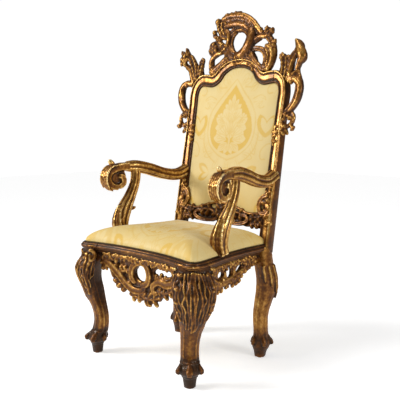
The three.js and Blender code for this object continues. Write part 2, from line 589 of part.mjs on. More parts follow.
// The arm spreads from the post to the volute
const armX = (y) => {
  const share = THREE.MathUtils.clamp((armRootY - y) / (armRootY - voluteY), 0, 1.1);
  return THREE.MathUtils.lerp(stileX + 4, frontHalf - ARM_INSET, share ** 1.15);
};
const onArm = (side) => (y, z, out) => new THREE.Vector3(side * (armX(y) + out), y, z);
const armPoint = ([y, up]) => [backBaseY + (y - 12.1) * armAlong, SEAT_HEIGHT + up * armUp];
const armLine = [[17.4, 28], [11.5, 25.8], [4, 26.5], [-4, 28.9], [-10, 30.2], [-14.6, 30.3]];
// The curl, in shares of the volute's radius from its middle
const curlLine = [
  [1.2, 0.78], [0.55, 0.82], [0.02, 0.72], [-0.52, 0.46], [-0.72, -0.06], [-0.42, -0.58], [0.12, -0.72]];
const eyeLine = [[0.06, -0.74], [0.5, -0.42], [0.44, 0.04], [0.08, 0.16]];
const tipLine = [[-0.1, 0.86], [-0.34, 1.18], [-0.5, 1.38]];
function arm(side, grow = 0) {
  const place = onArm(side);
  const half = ARM_THICKNESS / 2;
  const roll = ([y, z]) => [voluteY + y * VOLUTE_RADIUS, voluteZ + z * VOLUTE_RADIUS];
  const bar = stroke(place, armLine.map(armPoint), [1.02, 1, 1, 1.04, 1.02, 0.88].map((g) => g * half),
    { flat: armHalfWidth / half, sides: 6, steps: 7, grow });
  const curl = stroke(place, curlLine.map(roll),
    [0.8, 0.68, 0.62, 0.58, 0.56, 0.54, 0.5].map((g) => g * half),
    { flat: 1.6, sides: 5, steps: 7, grow });
  const eye = stroke(place, eyeLine.map(roll), [0.5, 0.5, 0.48, 0.4].map((g) => g * half),
    { flat: 2.1, sides: 4, steps: 3, grow });
  const web = new THREE.CylinderGeometry(
    0.8 * VOLUTE_RADIUS + grow, 0.8 * VOLUTE_RADIUS + grow, 0.5 * VOLUTE_WIDTH + 2 * grow, 8);
  web.rotateZ(Math.PI / 2);
  web.translate(side * armX(voluteY), voluteY, voluteZ);
  const tip = stroke(place, tipLine.map(roll), [12, 11, 6], { steps: 3, grow });
  return joined([bar, curl, eye, solid(web), tip]);
}
const supportBaseY = backBaseY - SUPPORT_REACH;
const supportLine = [
  [-10.8, 29.2], [-10.6, 26.6], [-11.4, 22.4], [-13.8, 17.2], [-16.9, 12], [-18.9, 7], [-18.7, 2.8], [-18, 0],
].map(([y, up]) => [supportBaseY + (y + 18) * armAlong, SEAT_HEIGHT + up * armUp]);
function supportBar(side, grow = 0) {
  const base = planEdge(supportBaseY, "y") - 7;
  const place = (y, z, out) => {
    const share = THREE.MathUtils.clamp((z - SEAT_HEIGHT) / ARM_HEIGHT, 0, 1);
    return new THREE.Vector3(side * (THREE.MathUtils.lerp(base, armX(y) - 4, share) + out), y, z);
  };
  const half = SUPPORT_WIDTH / 2;
  const bar = stroke(place, supportLine, [0.72, 0.74, 0.76, 0.88, 1.1, 1.16, 1.04, 1.1].map((g) => g * half),
    { sides: 6, steps: 8, flat: 0.9, grow });
  const tip = stroke(place, [[-0.78, 0.44], [-0.62, 0.4], [-0.5, 0.385]].map(
    ([y, up]) => [supportBaseY + (y + 1) * 18 * armAlong, SEAT_HEIGHT + up * ARM_HEIGHT]),
      [14, 9, 4], { steps: 2, grow });
  return joined([bar, tip]).intersect(block([-FAR, -FAR, SEAT_HEIGHT + GAP - grow], [FAR, FAR, over]));
}

// Upholstered seat: a crowned pad that rests on the rails and is cut round the supports and posts
function seatPad() {
  const rim = planRow.map((p) => new THREE.Vector2(p.x, Math.min(p.y, seatRearY - 32)));
  const across = sideways(planRow, true);
  const centre = new THREE.Vector2(0, (SEAT_FRONT_Y + seatRearY) / 2);
  const every = rim.map((p, i) => p.clone().addScaledVector(across[i], -SEAT_INSET))
    .filter((_, i) => i % 2 === 0);
  const layers = [[0.99, GAP], [1, 0.6 * SEAT_EDGE],
    [0.97, SEAT_EDGE], [0.84, 0.7 * SEAT_CROWN], [0.45, SEAT_CROWN]];
  const rings = layers.map(([share, up]) => every.map((p) => {
    const q = centre.clone().lerp(p, share);
    return new THREE.Vector3(q.x, q.y, SEAT_HEIGHT + up);
  }));
  const outline = every.map((p) => p.clone());
  return loft(rings, outline)
    .subtract(backFrame(GAP)).subtract(supportBar(1, GAP)).subtract(supportBar(-1, GAP));
}

// Upholstered panel in the frame of the back, crowned to the front
function backPanel() {
  const across = sideways(frameRow);
  const inner = frameRow.map((p, i) => new THREE.Vector2(p.x, p.y).addScaledVector(across[i], -p.z - GAP));
  const foot = LOWER_RAIL_BOTTOM + 0.3 * LOWER_RAIL_HEIGHT;
  const above = inner.filter((p) => p.y > foot);
  const footAt = (p, q) => p.clone().lerp(q, (foot - p.y) / (q.y - p.y));
  const outline = [footAt(above[0], above[1]), ...above,
    footAt(above[above.length - 1], above[above.length - 2])];
  const middle = new THREE.Vector2(0, SHOULDER_HEIGHT / 2);
  const layers = [[1, -PANEL_BACK], [1, PANEL_FRONT], [0.86, PANEL_FRONT + 0.45 * PANEL_CROWN],
    [0.6, PANEL_FRONT + PANEL_CROWN]];
  const rings = layers.map(([share, front]) => outline.map((p) => {
    const q = middle.clone().lerp(p, share);
    return onBack(q.x, q.y, front);
  }));
  return loft(rings, outline).subtract(lowerRailBar(GAP));
}

// The largest body of a joined or cut mesh, without the slivers and pockets that a cut or join leaves.
// Triangles are of one body where they share an edge.
function largestBody(position, index) {
  const count = index.length / 3;
  const owner = Array.from({ length: count }, (_, i) => i);
  const root = (i) => {
    while (owner[i] !== i) i = owner[i];
    return i;
  };
  const seen = new Map();
  for (let i = 0; i < index.length; i++) {
    const triangle = Math.floor(i / 3);
    const next = index[i % 3 === 2 ? i - 2 : i + 1];
    const edge = `${Math.min(index[i], next)} ${Math.max(index[i], next)}`;
    if (seen.has(edge)) owner[root(triangle)] = root(seen.get(edge));
    seen.set(edge, triangle);
  }
  const bodies = new Map();
  for (let i = 0; i < count; i++) {
    const key = root(i);
    if (!bodies.has(key)) bodies.set(key, []);
    bodies.get(key).push(...index.slice(3 * i, 3 * i + 3));
  }
  return [...bodies.values()].sort((a, b) => signedVolume(position, b) - signedVolume(position, a))[0];
}

function mesh(name, made, finish) {
  const { vertProperties, triVerts } = made.getMesh();
  const body = new THREE.BufferGeometry();
  body.setAttribute("position", new THREE.Float32BufferAttribute(vertProperties, 3));
  body.setIndex(largestBody(vertProperties, triVerts));
  const piece = new THREE.Mesh(body.toNonIndexed(), new THREE.MeshStandardMaterial(finish));
  piece.geometry = mergeVertices(piece.geometry, 1e-4);
  piece.name = name;
  return piece;
}

const throne = new THREE.Group();
throne.add(mesh("front_rail", joined([seatBand, frontApron()]).intersect(
  block([-frontJointX, -FAR, under], [frontJointX, SEAT_FRONT_Y + SEAT_DEPTH / 3, over])), GILT));
throne.add(mesh("rear_rail", seatBand.intersect(
  block([-rearJointX + GAP, sideFrontJointY, under], [rearJointX - GAP, FAR, over])).subtract(
  block([-FAR, -FAR, under], [FAR, sideRearJointY, over])), GILT));
for (const [name, side] of Object.entries(SIDES)) {
  const half = side < 0 ? [-FAR, 0] : [0, FAR];
  throne.add(mesh(`front_leg_${name}`, frontLeg(side), GILT));
  throne.add(mesh(`rear_post_${name}`, rearPost(side), GILT));
  throne.add(mesh(`side_rail_${name}`, joined([seatBand, sideApron(side)]).intersect(
    block([half[0], sideFrontJointY, under], [half[1], sideRearJointY, over])), GILT));
  throne.add(mesh(`arm_${name}`, arm(side).subtract(backFrame(GAP)), GILT));
  throne.add(mesh(`arm_support_${name}`, supportBar(side).subtract(arm(side, GAP)), GILT));
}
throne.add(mesh("crest_rail", crestRail(), GILT));
throne.add(mesh("lower_back_rail", lowerRail(), GILT));
throne.add(mesh("seat_pad", seatPad(), DAMASK));
throne.add(mesh("back_panel", backPanel(), DAMASK));

// The origin is on the floor, at the middle of the throne's own length and width
const bounds = new THREE.Box3().setFromObject(throne);
throne.position.set(-(bounds.min.x + bounds.max.x) / 2, -(bounds.min.y + bounds.max.y) / 2, 0);

export default throne;
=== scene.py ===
import math
import bpy
import numpy as np
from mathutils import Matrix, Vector


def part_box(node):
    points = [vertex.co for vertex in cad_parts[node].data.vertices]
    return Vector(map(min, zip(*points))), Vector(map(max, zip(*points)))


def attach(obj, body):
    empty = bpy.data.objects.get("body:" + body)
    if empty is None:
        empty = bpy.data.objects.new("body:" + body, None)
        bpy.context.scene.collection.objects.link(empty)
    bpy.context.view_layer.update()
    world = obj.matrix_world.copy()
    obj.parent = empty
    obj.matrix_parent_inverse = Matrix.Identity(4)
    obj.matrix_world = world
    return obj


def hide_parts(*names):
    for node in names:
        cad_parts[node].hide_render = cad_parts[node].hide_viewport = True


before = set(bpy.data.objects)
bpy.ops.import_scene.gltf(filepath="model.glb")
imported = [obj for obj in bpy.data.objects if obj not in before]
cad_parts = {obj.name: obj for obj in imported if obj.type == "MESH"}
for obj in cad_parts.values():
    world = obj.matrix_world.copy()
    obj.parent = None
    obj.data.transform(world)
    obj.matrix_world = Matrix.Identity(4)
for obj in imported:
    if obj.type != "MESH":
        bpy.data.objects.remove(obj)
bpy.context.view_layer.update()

# Seat frame: four rails of beech or walnut, tenoned into the legs, one carved and gilded moulding cut at
# the joints. The front and side rails carry pierced leafy aprons below. All the carving is drawn as strokes,
# swept into bars, joined and gone over, as a carver goes from a drawing to the blank and then to finer tools.
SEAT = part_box("front_rail")[1][2]
rear_face = 0.165
MIDDLE = np.array([(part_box("front_leg_left")[0][0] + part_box("front_leg_right")[1][0]) / 2,
                   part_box("rear_rail")[1][1] - rear_face, 0.0])
SIDES = (("left", -1), ("right", 1))
STROKE_STEP = 0.003


def smooth(points, steps, values=None, closed=False):
    """Places on a centripetal Catmull-Rom line through points, each with its value where values are given."""
    p = np.asarray(points, float) if values is None else np.column_stack([points, values]).astype(float)
    spans = len(p) if closed else len(p) - 1
    if closed:
        p = np.vstack([p[-1:], p, p[:2]])
    else:
        p = np.vstack([2 * p[:1] - p[1:2], p, 2 * p[-1:] - p[-2:-1]])
    t = np.linspace(0, spans, steps + 1)[:steps if closed else steps + 1]
    i = np.minimum(t.astype(int), spans - 1)
    w = (t - i)[:, None]
    p0, p1, p2, p3 = p[i], p[i + 1], p[i + 2], p[i + 3]
    d0, d1, d2 = (np.sqrt(np.linalg.norm(b - a, axis=1))[:, None] + 1e-9
                  for a, b in ((p0, p1), (p1, p2), (p2, p3)))
    m1 = d1 * ((p1 - p0) / d0 - (p2 - p0) / (d0 + d1) + (p2 - p1) / d1)
    m2 = d1 * ((p2 - p1) / d1 - (p3 - p1) / (d1 + d2) + (p3 - p2) / d2)
    return p1 + m1 * w + (3 * (p2 - p1) - 2 * m1 - m2) * w ** 2 + (2 * (p1 - p2) + m1 + m2) * w ** 3


def unit(v):
    return v / (np.linalg.norm(v, axis=-1, keepdims=True) + 1e-12)


def sideways(row, closed=False):
    """Directions to the right of a flat row of points, seen along it."""
    before, after = np.roll(row, 1, 0), np.roll(row, -1, 0)
    if not closed:
        before[0], after[-1] = row[0], row[-1]
    d = after - before
    return unit(np.column_stack([d[:, 1], -d[:, 0]]))


def arc(points):
    """The length along a row of points, at each of them."""
    return np.concatenate([[0], np.cumsum(np.linalg.norm(np.diff(points, axis=0), axis=1))])


def spread(values, count):
    """Values given along a line, read at even places."""
    values = np.atleast_1d(values)
    return np.interp(np.linspace(0, 1, count), np.linspace(0, 1, len(values)), values)


def spots_at(x, y, z):
    """Places from coordinates that are rows or single values."""
    return np.stack(np.broadcast_arrays(x, y, z), axis=-1)


def tapered(points, reach, notch, beat, blunt):
    """A stroke's reach along its points, round at its ends. notch cuts its edges into lobes, a beat apart."""
    s = arc(points)
    if not blunt:
        near = np.minimum(s, s[-1] - s) / np.maximum(reach, 1e-5)
        reach = reach * np.sqrt(np.clip(1 - (1 - np.clip(near, 0.04, 1)) ** 2, 0, 1))
    return reach * (1 - notch * np.abs(np.cos(np.pi * s / beat)) ** 3)


def stroke(place, line, girth, depth=0.0, flat=0.85, notch=0.0, beat=0.011, blunt=False):
    """A carved stroke on a surface: its places, and its reach across and outwards at each."""
    line = np.asarray(line, float)
    row = smooth(line, max(5, int(arc(line)[-1] / STROKE_STEP)), spread(girth, len(line)))
    p = row[:, :2]
    reach = tapered(p, np.abs(row[:, 2]), notch, beat, blunt)
    at = place(p[:, 0], p[:, 1], depth)
    edge = p + sideways(p) * reach[:, None]
    top = place(p[:, 0], p[:, 1], depth + reach * spread(flat, len(p)))
    return at, place(edge[:, 0], edge[:, 1], depth) - at, top - at


def strand(at, out, girth, rise, notch=0.0, beat=0.011, blunt=False):
    """A stroke drawn in space instead: places, the way out of the surface at each, half width and height."""
    at = np.asarray(at, float)
    steps = max(5, int(arc(at)[-1] / STROKE_STEP))
    reach = spread(spread(girth, len(at)), steps + 1)
    at, out = smooth(at, steps), unit(smooth(out, steps))
    reach = tapered(at, reach, notch, beat, blunt)
    across = unit(np.cross(np.gradient(at, axis=0), out))
    return at, across * reach[:, None], out * (reach * rise)[:, None]


# How uneven the hand is that carves leaf after leaf, the same each time
HAND = np.random.default_rng(11)
LOBE_WIDTH = 0.0125


def leaf(line, reach, lobes=5, sides=(-1, 1), fan=0.8):
    """The strokes of an acanthus leaf along a line: overlapping lobes that lean to its tip, and a spine."""
    row = smooth(line, 60)
    along, right = unit(np.gradient(row, axis=0)), sideways(row)
    width = min(0.62 * arc(row)[-1] / lobes, LOBE_WIDTH)
    found = []
    for k in range(lobes):
        for side in sides:
            t = (k + 0.2 + HAND.uniform(-0.15, 0.25)) / (lobes + 0.2)
            i = int(60 * max(0, t))
            full = 0.50 + 0.70 * math.sin(math.pi * min(1.0, 0.18 + 0.76 * t))
            size = reach * full * HAND.uniform(0.72, 1.12)
            lean, w = fan * HAND.uniform(0.75, 1.2), width * HAND.uniform(0.8, 1.15)
            d, s, start = along[i], side * right[i], row[i]
            lobe = [start, start + size * (0.26 * d + 0.5 * lean * s), start + size * (0.60 * d + lean * s),
                    start + size * (1.02 * d + (lean + 0.10) * s)]
            found.append((lobe, [0.7 * w, 1.0 * w, 1.04 * w, 0.55 * w]))
    found.append((line, [0.7 * width, 0.8 * width, 0.7 * width, 0.5 * width]))
    return found


def foliage(place, leaves, depth, flat=0.8, spot=np.array, size=1.0):
    """Leaves given as (line, reach, lobes), or with more of what a leaf takes, in a piece's own units."""
    return sweep([stroke(place, line, girth, depth, flat)
                  for spine, reach, *more in leaves
                  for line, girth in leaf(spot(spine), reach * size, *more)], KEEL)


def scrolls(place, strokes, depth, flat, shape, spot=np.array, size=1.0, notch=0.0, beat=0.011):
    """Strokes given as (line, girth) in a piece's own units, swept with a section."""
    return sweep([stroke(place, spot(line), np.array(girth) * size, depth, flat, notch, beat)
                  for line, girth in strokes], shape)


def flower(centre, reach, petals, turn=0.0):
    """The strokes of an open flower: petals round a knob."""
    centre = np.asarray(centre, float)
    found = []
    for k in range(petals):
        angle = turn + 2 * math.pi * k / petals
        d, s = np.array([math.cos(angle), math.sin(angle)]), np.array([-math.sin(angle), math.cos(angle)])
        size = reach * (1.0 if k % 2 else 0.86)
        found.append(([centre + 0.15 * size * d, centre + size * (0.55 * d + 0.12 * s), centre + size * d],
                      [0.22 * size, 0.36 * size, 0.16 * size]))
    return found


def flowers(drawn, spot):
    """The strokes of flowers given as (place, reach, petals, turn) in a piece's own units."""
    return [petal for centre, *rest in drawn for petal in flower(spot(centre), *rest)]


def knob(centre, radius):
    """A bead, as a short stroke."""
    centre = np.asarray(centre, float)
    return [centre - (radius, 0), centre, centre + (radius, 0)], [radius]


# The tree that sweeps a section along strokes, and its sections
def section(name, points, toning=None):
    """A closed flat section that the sweep reads. The value given for each point says how proud it counts for
    the gilding, whose dark low points are partly painted shade.
    """
    mesh = bpy.data.meshes.new(name)
    count = len(points)
    mesh.from_pydata([(x, y, 0.0) for x, y in points], [(i, (i + 1) % count) for i in range(count)], [])
    for axis, values in zip("xy", np.asarray(points, float).T):
        mesh.attributes.new("section " + axis, "FLOAT", "POINT").data.foreach_set("value", values)
    if toning is not None:
        mesh.attributes.new("toning", "FLOAT", "POINT").data.foreach_set("value", np.asarray(toning, float))
    return bpy.data.objects.new(name, mesh)


def ring(count, radius):
    """The points of a closed section whose half width and half height change with the turn."""
    angle = np.linspace(0, 2 * math.pi, count, endpoint=False)
    wide, tall = radius(np.cos(angle), np.sin(angle))
    return np.column_stack([wide * np.cos(angle), tall * np.sin(angle)])


ROUND = section("round section", ring(14, lambda c, s: (1, 1)))
SCROLL = section("channelled section", ring(26, lambda c, s: (
    1, np.where(s > 0, 0.66 + 0.5 * np.minimum(1, np.abs(c) / 0.66) ** 2, 1))))
KEEL = section("keeled section", ring(22, lambda c, s: (
    1, np.where(s > 0, 0.50 + 0.62 * (1 - np.abs(c)) ** 1.3, 1))))
LEAF = section("veined section", ring(26, lambda c, s: (
    1, np.where(s > 0, 0.74 + 0.34 * np.cos(1.5 * math.pi * c) ** 2, 1))))

SWEEP = bpy.data.node_groups.new("Swept carving", "GeometryNodeTree")
SWEEP.interface.new_socket("Strokes", in_out="INPUT", socket_type="NodeSocketGeometry")
SWEEP.interface.new_socket("Section", in_out="INPUT", socket_type="NodeSocketObject")
for label in ("Width", "Height"):
    SWEEP.interface.new_socket(label, in_out="INPUT", socket_type="NodeSocketFloat").default_value = 1.0
SWEEP.interface.new_socket("Material", in_out="INPUT", socket_type="NodeSocketMaterial")
SWEEP.interface.new_socket("Carving", in_out="OUTPUT", socket_type="NodeSocketGeometry")


def wire(tree, node, **inputs):
    """Gives a node's inputs links or values, with _ for spaces or before a number."""
    for key, value in inputs.items():
        socket = node.inputs[int(key[1:])] if key[0] == "_" else node.inputs[key.replace("_", " ")]
        if isinstance(value, bpy.types.NodeSocket):
            tree.links.new(value, socket)
        else:
            socket.default_value = value


def add_node(tree, kind, **given):
    """A new node of a tree, with its settings in lower case and its inputs as wire takes them."""
    made = tree.nodes.new(kind)
    settings = {key: value for key, value in given.items() if key.islower() and hasattr(made, key)}
    for key, value in settings.items():
        setattr(made, key, value)
    wire(tree, made, **{key: value for key, value in given.items() if key not in settings})
    return made


source = add_node(SWEEP, "NodeGroupInput")
strokes_in = add_node(SWEEP, "GeometryNodeMeshToCurve", Mesh=source.outputs["Strokes"])
shape_in = add_node(SWEEP, "GeometryNodeObjectInfo", Object=source.outputs["Section"])
shape_row = add_node(SWEEP, "GeometryNodeMeshToCurve", Mesh=shape_in.outputs["Geometry"])
swept = add_node(SWEEP, "GeometryNodeCurveToMesh", Curve=strokes_in.outputs[0],
                 Profile_Curve=shape_row.outputs[0], Fill_Caps=True)
named = {}
for label, kind in (("across", "FLOAT_VECTOR"), ("facing", "FLOAT_VECTOR"), ("at", "FLOAT_VECTOR"),
                    ("section x", "FLOAT"), ("section y", "FLOAT")):
    named[label] = add_node(SWEEP, "GeometryNodeInputNamedAttribute", data_type=kind,
                            Name=label).outputs["Attribute"]
terms = []
for way, axis, size in (("across", "section x", "Width"), ("facing", "section y", "Height")):
    amount = add_node(SWEEP, "ShaderNodeMath", operation="MULTIPLY", _0=named[axis],
                      _1=source.outputs[size])
    terms.append(add_node(SWEEP, "ShaderNodeVectorMath", operation="SCALE", _0=named[way],
                          Scale=amount.outputs[0]).outputs[0])
offset = add_node(SWEEP, "ShaderNodeVectorMath", operation="ADD", _0=terms[0], _1=terms[1])
spot = add_node(SWEEP, "ShaderNodeVectorMath", operation="ADD", _0=named["at"], _1=offset.outputs[0])
placed = add_node(SWEEP, "GeometryNodeSetPosition", Geometry=swept.outputs[0], Position=spot.outputs[0])
real = add_node(SWEEP, "GeometryNodeRealizeInstances", Geometry=placed.outputs[0])
coated = add_node(SWEEP, "GeometryNodeSetMaterial", Geometry=real.outputs[0],
                  Material=source.outputs["Material"])
add_node(SWEEP, "NodeGroupOutput", Carving=coated.outputs[0])


def plain(obj):
    """The corners and triangles that an object's modifiers make, and the gilding value of each corner where
    its section gives one. The object is gone."""
    bpy.context.scene.collection.objects.link(obj)
    mesh = bpy.data.meshes.new_from_object(obj.evaluated_get(bpy.context.evaluated_depsgraph_get()))
    mesh.calc_loop_triangles()
    corners = np.empty(3 * len(mesh.vertices), np.float32)
    mesh.vertices.foreach_get("co", corners)
    faces = np.empty(3 * len(mesh.loop_triangles), np.int32)
    mesh.loop_triangles.foreach_get("vertices", faces)
    found = [corners.reshape(-1, 3).astype(float), faces.reshape(-1, 3)]
    if "toning" in mesh.attributes:
        found.append(np.empty(len(mesh.vertices), np.float32))
        mesh.attributes["toning"].data.foreach_get("value", found[2])
    bpy.data.objects.remove(obj)
    bpy.data.meshes.remove(mesh)
    return found


def sweep(strokes, shape):
    """Strokes swept with a section, as a plain mesh."""
    mesh = bpy.data.meshes.new("strokes")
    edges, start = [], 0
    for at, _, _ in strokes:
        row = np.arange(start, start + len(at))
        edges.append(np.column_stack([row[:-1], row[1:]]))
        start += len(at)
    spots, across, facing = (np.vstack(column) for column in zip(*strokes))
    mesh.from_pydata(spots, np.vstack(edges), [])
    for label, values in (("at", spots), ("across", across), ("facing", facing)):
        mesh.attributes.new(label, "FLOAT_VECTOR", "POINT").data.foreach_set("vector", values.ravel())
    obj = bpy.data.objects.new("strokes", mesh)
    grown = obj.modifiers.new("Sweep", "NODES")
    grown.node_group = SWEEP
    sizes = {"Section": shape, "Width": 1.0, "Height": 1.0}
    for item in SWEEP.interface.items_tree:
        if item.in_out == "INPUT" and item.name in sizes:
            grown[item.identifier] = sizes[item.name]
    return plain(obj)


def joined(chunks):
    """Several meshes as one."""
    start = np.cumsum([0] + [len(chunk[0]) for chunk in chunks])
    return np.vstack([chunk[0] for chunk in chunks]), np.vstack([c[1] + s for c, s in zip(chunks, start)])


def remeshed(chunk, voxel):
    """One skin round overlapping bars."""
    mesh = bpy.data.meshes.new("carving")
    mesh.from_pydata(chunk[0], [], chunk[1])
    obj = bpy.data.objects.new("carving", mesh)
    skin = obj.modifiers.new("Skin", "REMESH")
    skin.mode = "VOXEL"
    skin.voxel_size = voxel
    skin.use_smooth_shade = True
    return plain(obj)


def edges_of(faces):
    pairs = np.vstack([faces[:, [0, 1]], faces[:, [1, 2]], faces[:, [2, 0]]])
    pairs.sort(axis=1)
    return np.unique(pairs, axis=0)


def eased(corners, edges, rounds, share=0.5, back=None):
    """Corners moved towards the middle of their neighbours, and back again if a share for it is given."""
    a, b = edges.T
    count = np.bincount(a, minlength=len(corners)) + np.bincount(b, minlength=len(corners)) + 1e-9
    moved = corners.copy()
    for amount in ((share,) if back is None else (share, -back)) * rounds:
        mean = np.stack([
            (np.bincount(a, moved[b, k], len(moved)) + np.bincount(b, moved[a, k], len(moved))) / count
            for k in range(moved.shape[1])], axis=1)
        moved = moved + amount * (mean - moved)
    return moved


def normals_of(corners, faces):
    turn = np.cross(corners[faces[:, 1]] - corners[faces[:, 0]],
                    corners[faces[:, 2]] - corners[faces[:, 0]])
    n = np.stack([sum(np.bincount(faces[:, j], turn[:, k], len(corners)) for j in range(3))
                  for k in range(3)], axis=1)
    return unit(n)


def outward(corners, faces):
    """The faces turned so that the body they close faces out."""
    a, b, c = (corners[faces[:, j]] for j in range(3))
    return faces if np.einsum("ij,ij->i", a, np.cross(b, c)).sum() > 0 else faces[:, ::-1]


def relief_of(corners, faces, front=None):
    """How far each place stands proud of the carving round it, from -1 in the hollows to 1 on the ridges, for
    the gilding, which paints the hollows dark as shade. front gives the way that the carving faces: places
    turned edgewise from it are painted darker as shade, and what faces right away is lighter again."""
    edges = edges_of(faces)
    n = normals_of(corners, faces)
    close = eased(corners, edges, 5)
    far = eased(close, edges, 40)
    fine = np.einsum("ij,ij->i", corners - close, n) / 0.0010
    broad = np.einsum("ij,ij->i", corners - far, n) / 0.0042
    if front is None:
        return np.clip(0.45 * fine + 0.65 * broad, -1.2, 1)
    turned = np.einsum("ij,ij->i", n, unit(front(corners)))
    turned = np.maximum(turned, -0.25) + 0.9 * np.clip(-2.5 * turned - 1, 0, 1)
    found = np.clip(0.34 * fine + 0.46 * broad + 0.75 * turned - 0.42, -1.5, 0.8)
    return eased(found[:, None], edges, 2)[:, 0]


def lumps(spots, size, seed):
    """Soft random lumps of about a size, from -1 to 1, the same each time for a seed."""
    table = np.random.default_rng(seed).uniform(-1, 1, 4096)
    q = spots / size
    cell = np.floor(q).astype(np.int64)
    f = q - cell
    f = f * f * (3 - 2 * f)
    total = np.zeros(len(spots))
    for corner in np.ndindex(2, 2, 2):
        key = np.bitwise_xor.reduce((cell + corner) * (73856093, 19349663, 83492791), axis=1)
        total += np.prod(np.where(corner, f, 1 - f), axis=1) * table[key % 4096]
    return total


def piece(name, chunks, material, node, marks, cloth=None):
    """A finished piece from its meshes, in its CAD node's place, with the marks that its material reads."""
    corners, faces = joined(chunks)
    mesh = bpy.data.meshes.new(name)
    mesh.from_pydata(corners + MIDDLE, [], faces)
    mesh.polygons.foreach_set("use_smooth", np.ones(len(faces), bool))
    for label, values in marks.items():
        mesh.attributes.new(label, "FLOAT", "POINT").data.foreach_set("value", values)
    if cloth is not None:
        layer = mesh.uv_layers.new(name="cloth")
        layer.data.foreach_set("uv", cloth[faces.ravel()].ravel())
    mesh.materials.append(material)
    obj = bpy.data.objects.new(name, mesh)
    bpy.context.scene.collection.objects.link(obj)
    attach(obj, "root")
    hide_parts(node)
    return obj


def carved(node, material, carving=(), mouldings=(), voxel=0.00265, front=None, cuts=0.0005, tone=None):
    """A gilded piece: its carving under one skin, and its mouldings as they are swept. cuts is how uneven the
    tool left it, and tone how much more or less gold a place keeps."""
    chunks, reliefs = [], []
    if carving:
        corners, faces = remeshed(joined(carving), voxel)
        corners = eased(corners, edges_of(faces), 2, 0.5, 0.52)
        faces = outward(corners, faces)
        cut = 0.6 * lumps(corners, 0.010, 3) + 0.4 * lumps(corners, 0.0055, 5)
        corners = corners + normals_of(corners, faces) * (cuts * cut - 0.0002)[:, None]
        chunks.append((corners, faces))
        # The relief mark keeps gold on what stands proud and paints shade in the hollows and on sides turned
        # from the front.
        reliefs.append(relief_of(corners, faces, front) + (0 if tone is None else tone(corners)))
    # Each moulding brings the gold of its section's points, with painted shade in its grooves.
    for corners, faces, toning in mouldings:
        chunks.append((corners, outward(corners, faces)))
        reliefs.append(toning)
    return piece(node + "_carved", chunks, material, node, {"relief": np.concatenate(reliefs)})


# Worn gilding: leaf over a dark ground, rubbed in patches, under old varnish. Its level follows the relief
# mark, so that hollows and sides turned from the front are painted dark as shade, and ridges keep the gold.
GILDING = bpy.data.node_groups.new("Gilding, worn, with painted shade", "ShaderNodeTree")
for label, start in (("Relief", 0.0), ("Gold", 0.5)):
    GILDING.interface.new_socket(label, in_out="INPUT", socket_type="NodeSocketFloat").default_value = start
for label, kind in (("Color", "Color"), ("Gilt", "Float"), ("Roughness", "Float"), ("Height", "Float")):
    GILDING.interface.new_socket(label, in_out="OUTPUT", socket_type="NodeSocket" + kind)


def noise(tree, scale, detail, roughness):
    """Noise that stays put on the piece."""
    where = add_node(tree, "ShaderNodeTexCoord")
    return add_node(tree, "ShaderNodeTexNoise", Vector=where.outputs["Object"], Scale=scale, Detail=detail,
                    Roughness=roughness).outputs[0]


def maths(tree, operation, *values, clamp=False):
    return add_node(tree, "ShaderNodeMath", operation=operation, use_clamp=clamp,
                    **{f"_{i}": value for i, value in enumerate(values)}).outputs[0]


def swayed(tree, pattern, amount, base):
    """A value moved up and down by a pattern about its middle."""
    return maths(tree, "MULTIPLY_ADD", maths(tree, "SUBTRACT", pattern, 0.5), amount, base)


def blended(tree, amount, first, second, kind="MIX"):
    return add_node(tree, "ShaderNodeMix", data_type="RGBA", blend_type=kind, Factor=amount, _6=first,
                    _7=second).outputs[2]


def ramp(tree, value, stops):
    """A row of colours, each at its place from 0 to 1."""
    made = add_node(tree, "ShaderNodeValToRGB", _0=value)
    while len(made.color_ramp.elements) < len(stops):
        made.color_ramp.elements.new(0.5)
    for element, (place, tone) in zip(made.color_ramp.elements, stops):
        element.position, element.color = place, tone
    return made.outputs[0]


given = add_node(GILDING, "NodeGroupInput")
patches = noise(GILDING, 14.0, 5.0, 0.6)
rub = noise(GILDING, 85.0, 4.0, 0.65)
grain = noise(GILDING, 420.0, 2.0, 0.5)
# The relief mark paints shade: hollows and sides turned from the front go dark.
level = maths(GILDING, "MULTIPLY_ADD", given.outputs["Relief"], 0.92, given.outputs["Gold"])
level = swayed(GILDING, patches, 1.45, level)
level = swayed(GILDING, rub, 0.95, level)
shade = add_node(GILDING, "ShaderNodeMapRange", Value=level, From_Min=-0.6, From_Max=1.3).outputs[0]
tones = ramp(GILDING, shade, [
    (0.0, (0.007, 0.0022, 0.0014, 1)), (0.28, (0.032, 0.0105, 0.0045, 1)),
    (0.48, (0.125, 0.044, 0.0095, 1)), (0.64, (0.300, 0.138, 0.028, 1)),
    (0.82, (0.590, 0.355, 0.098, 1)), (1.0, (0.870, 0.660, 0.310, 1))])
gilt = add_node(GILDING, "ShaderNodeMapRange", interpolation_type="SMOOTHSTEP", Value=level, From_Min=-0.25,
                From_Max=0.75).outputs[0]
stained = blended(GILDING, maths(GILDING, "MULTIPLY", grain, 0.35), tones, (0.16, 0.065, 0.016, 1),
                  "MULTIPLY")
rough = swayed(GILDING, rub, 0.30, maths(GILDING, "MULTIPLY_ADD", gilt, -0.20, 0.50))
height = maths(GILDING, "MULTIPLY_ADD", grain, 0.35, maths(GILDING, "MULTIPLY", rub, 0.65))
height = maths(GILDING, "MULTIPLY_ADD", gilt, 0.25, height)
add_node(GILDING, "NodeGroupOutput", Color=blended(GILDING, 0.5, tones, stained), Gilt=gilt,
         Roughness=rough, Height=height)


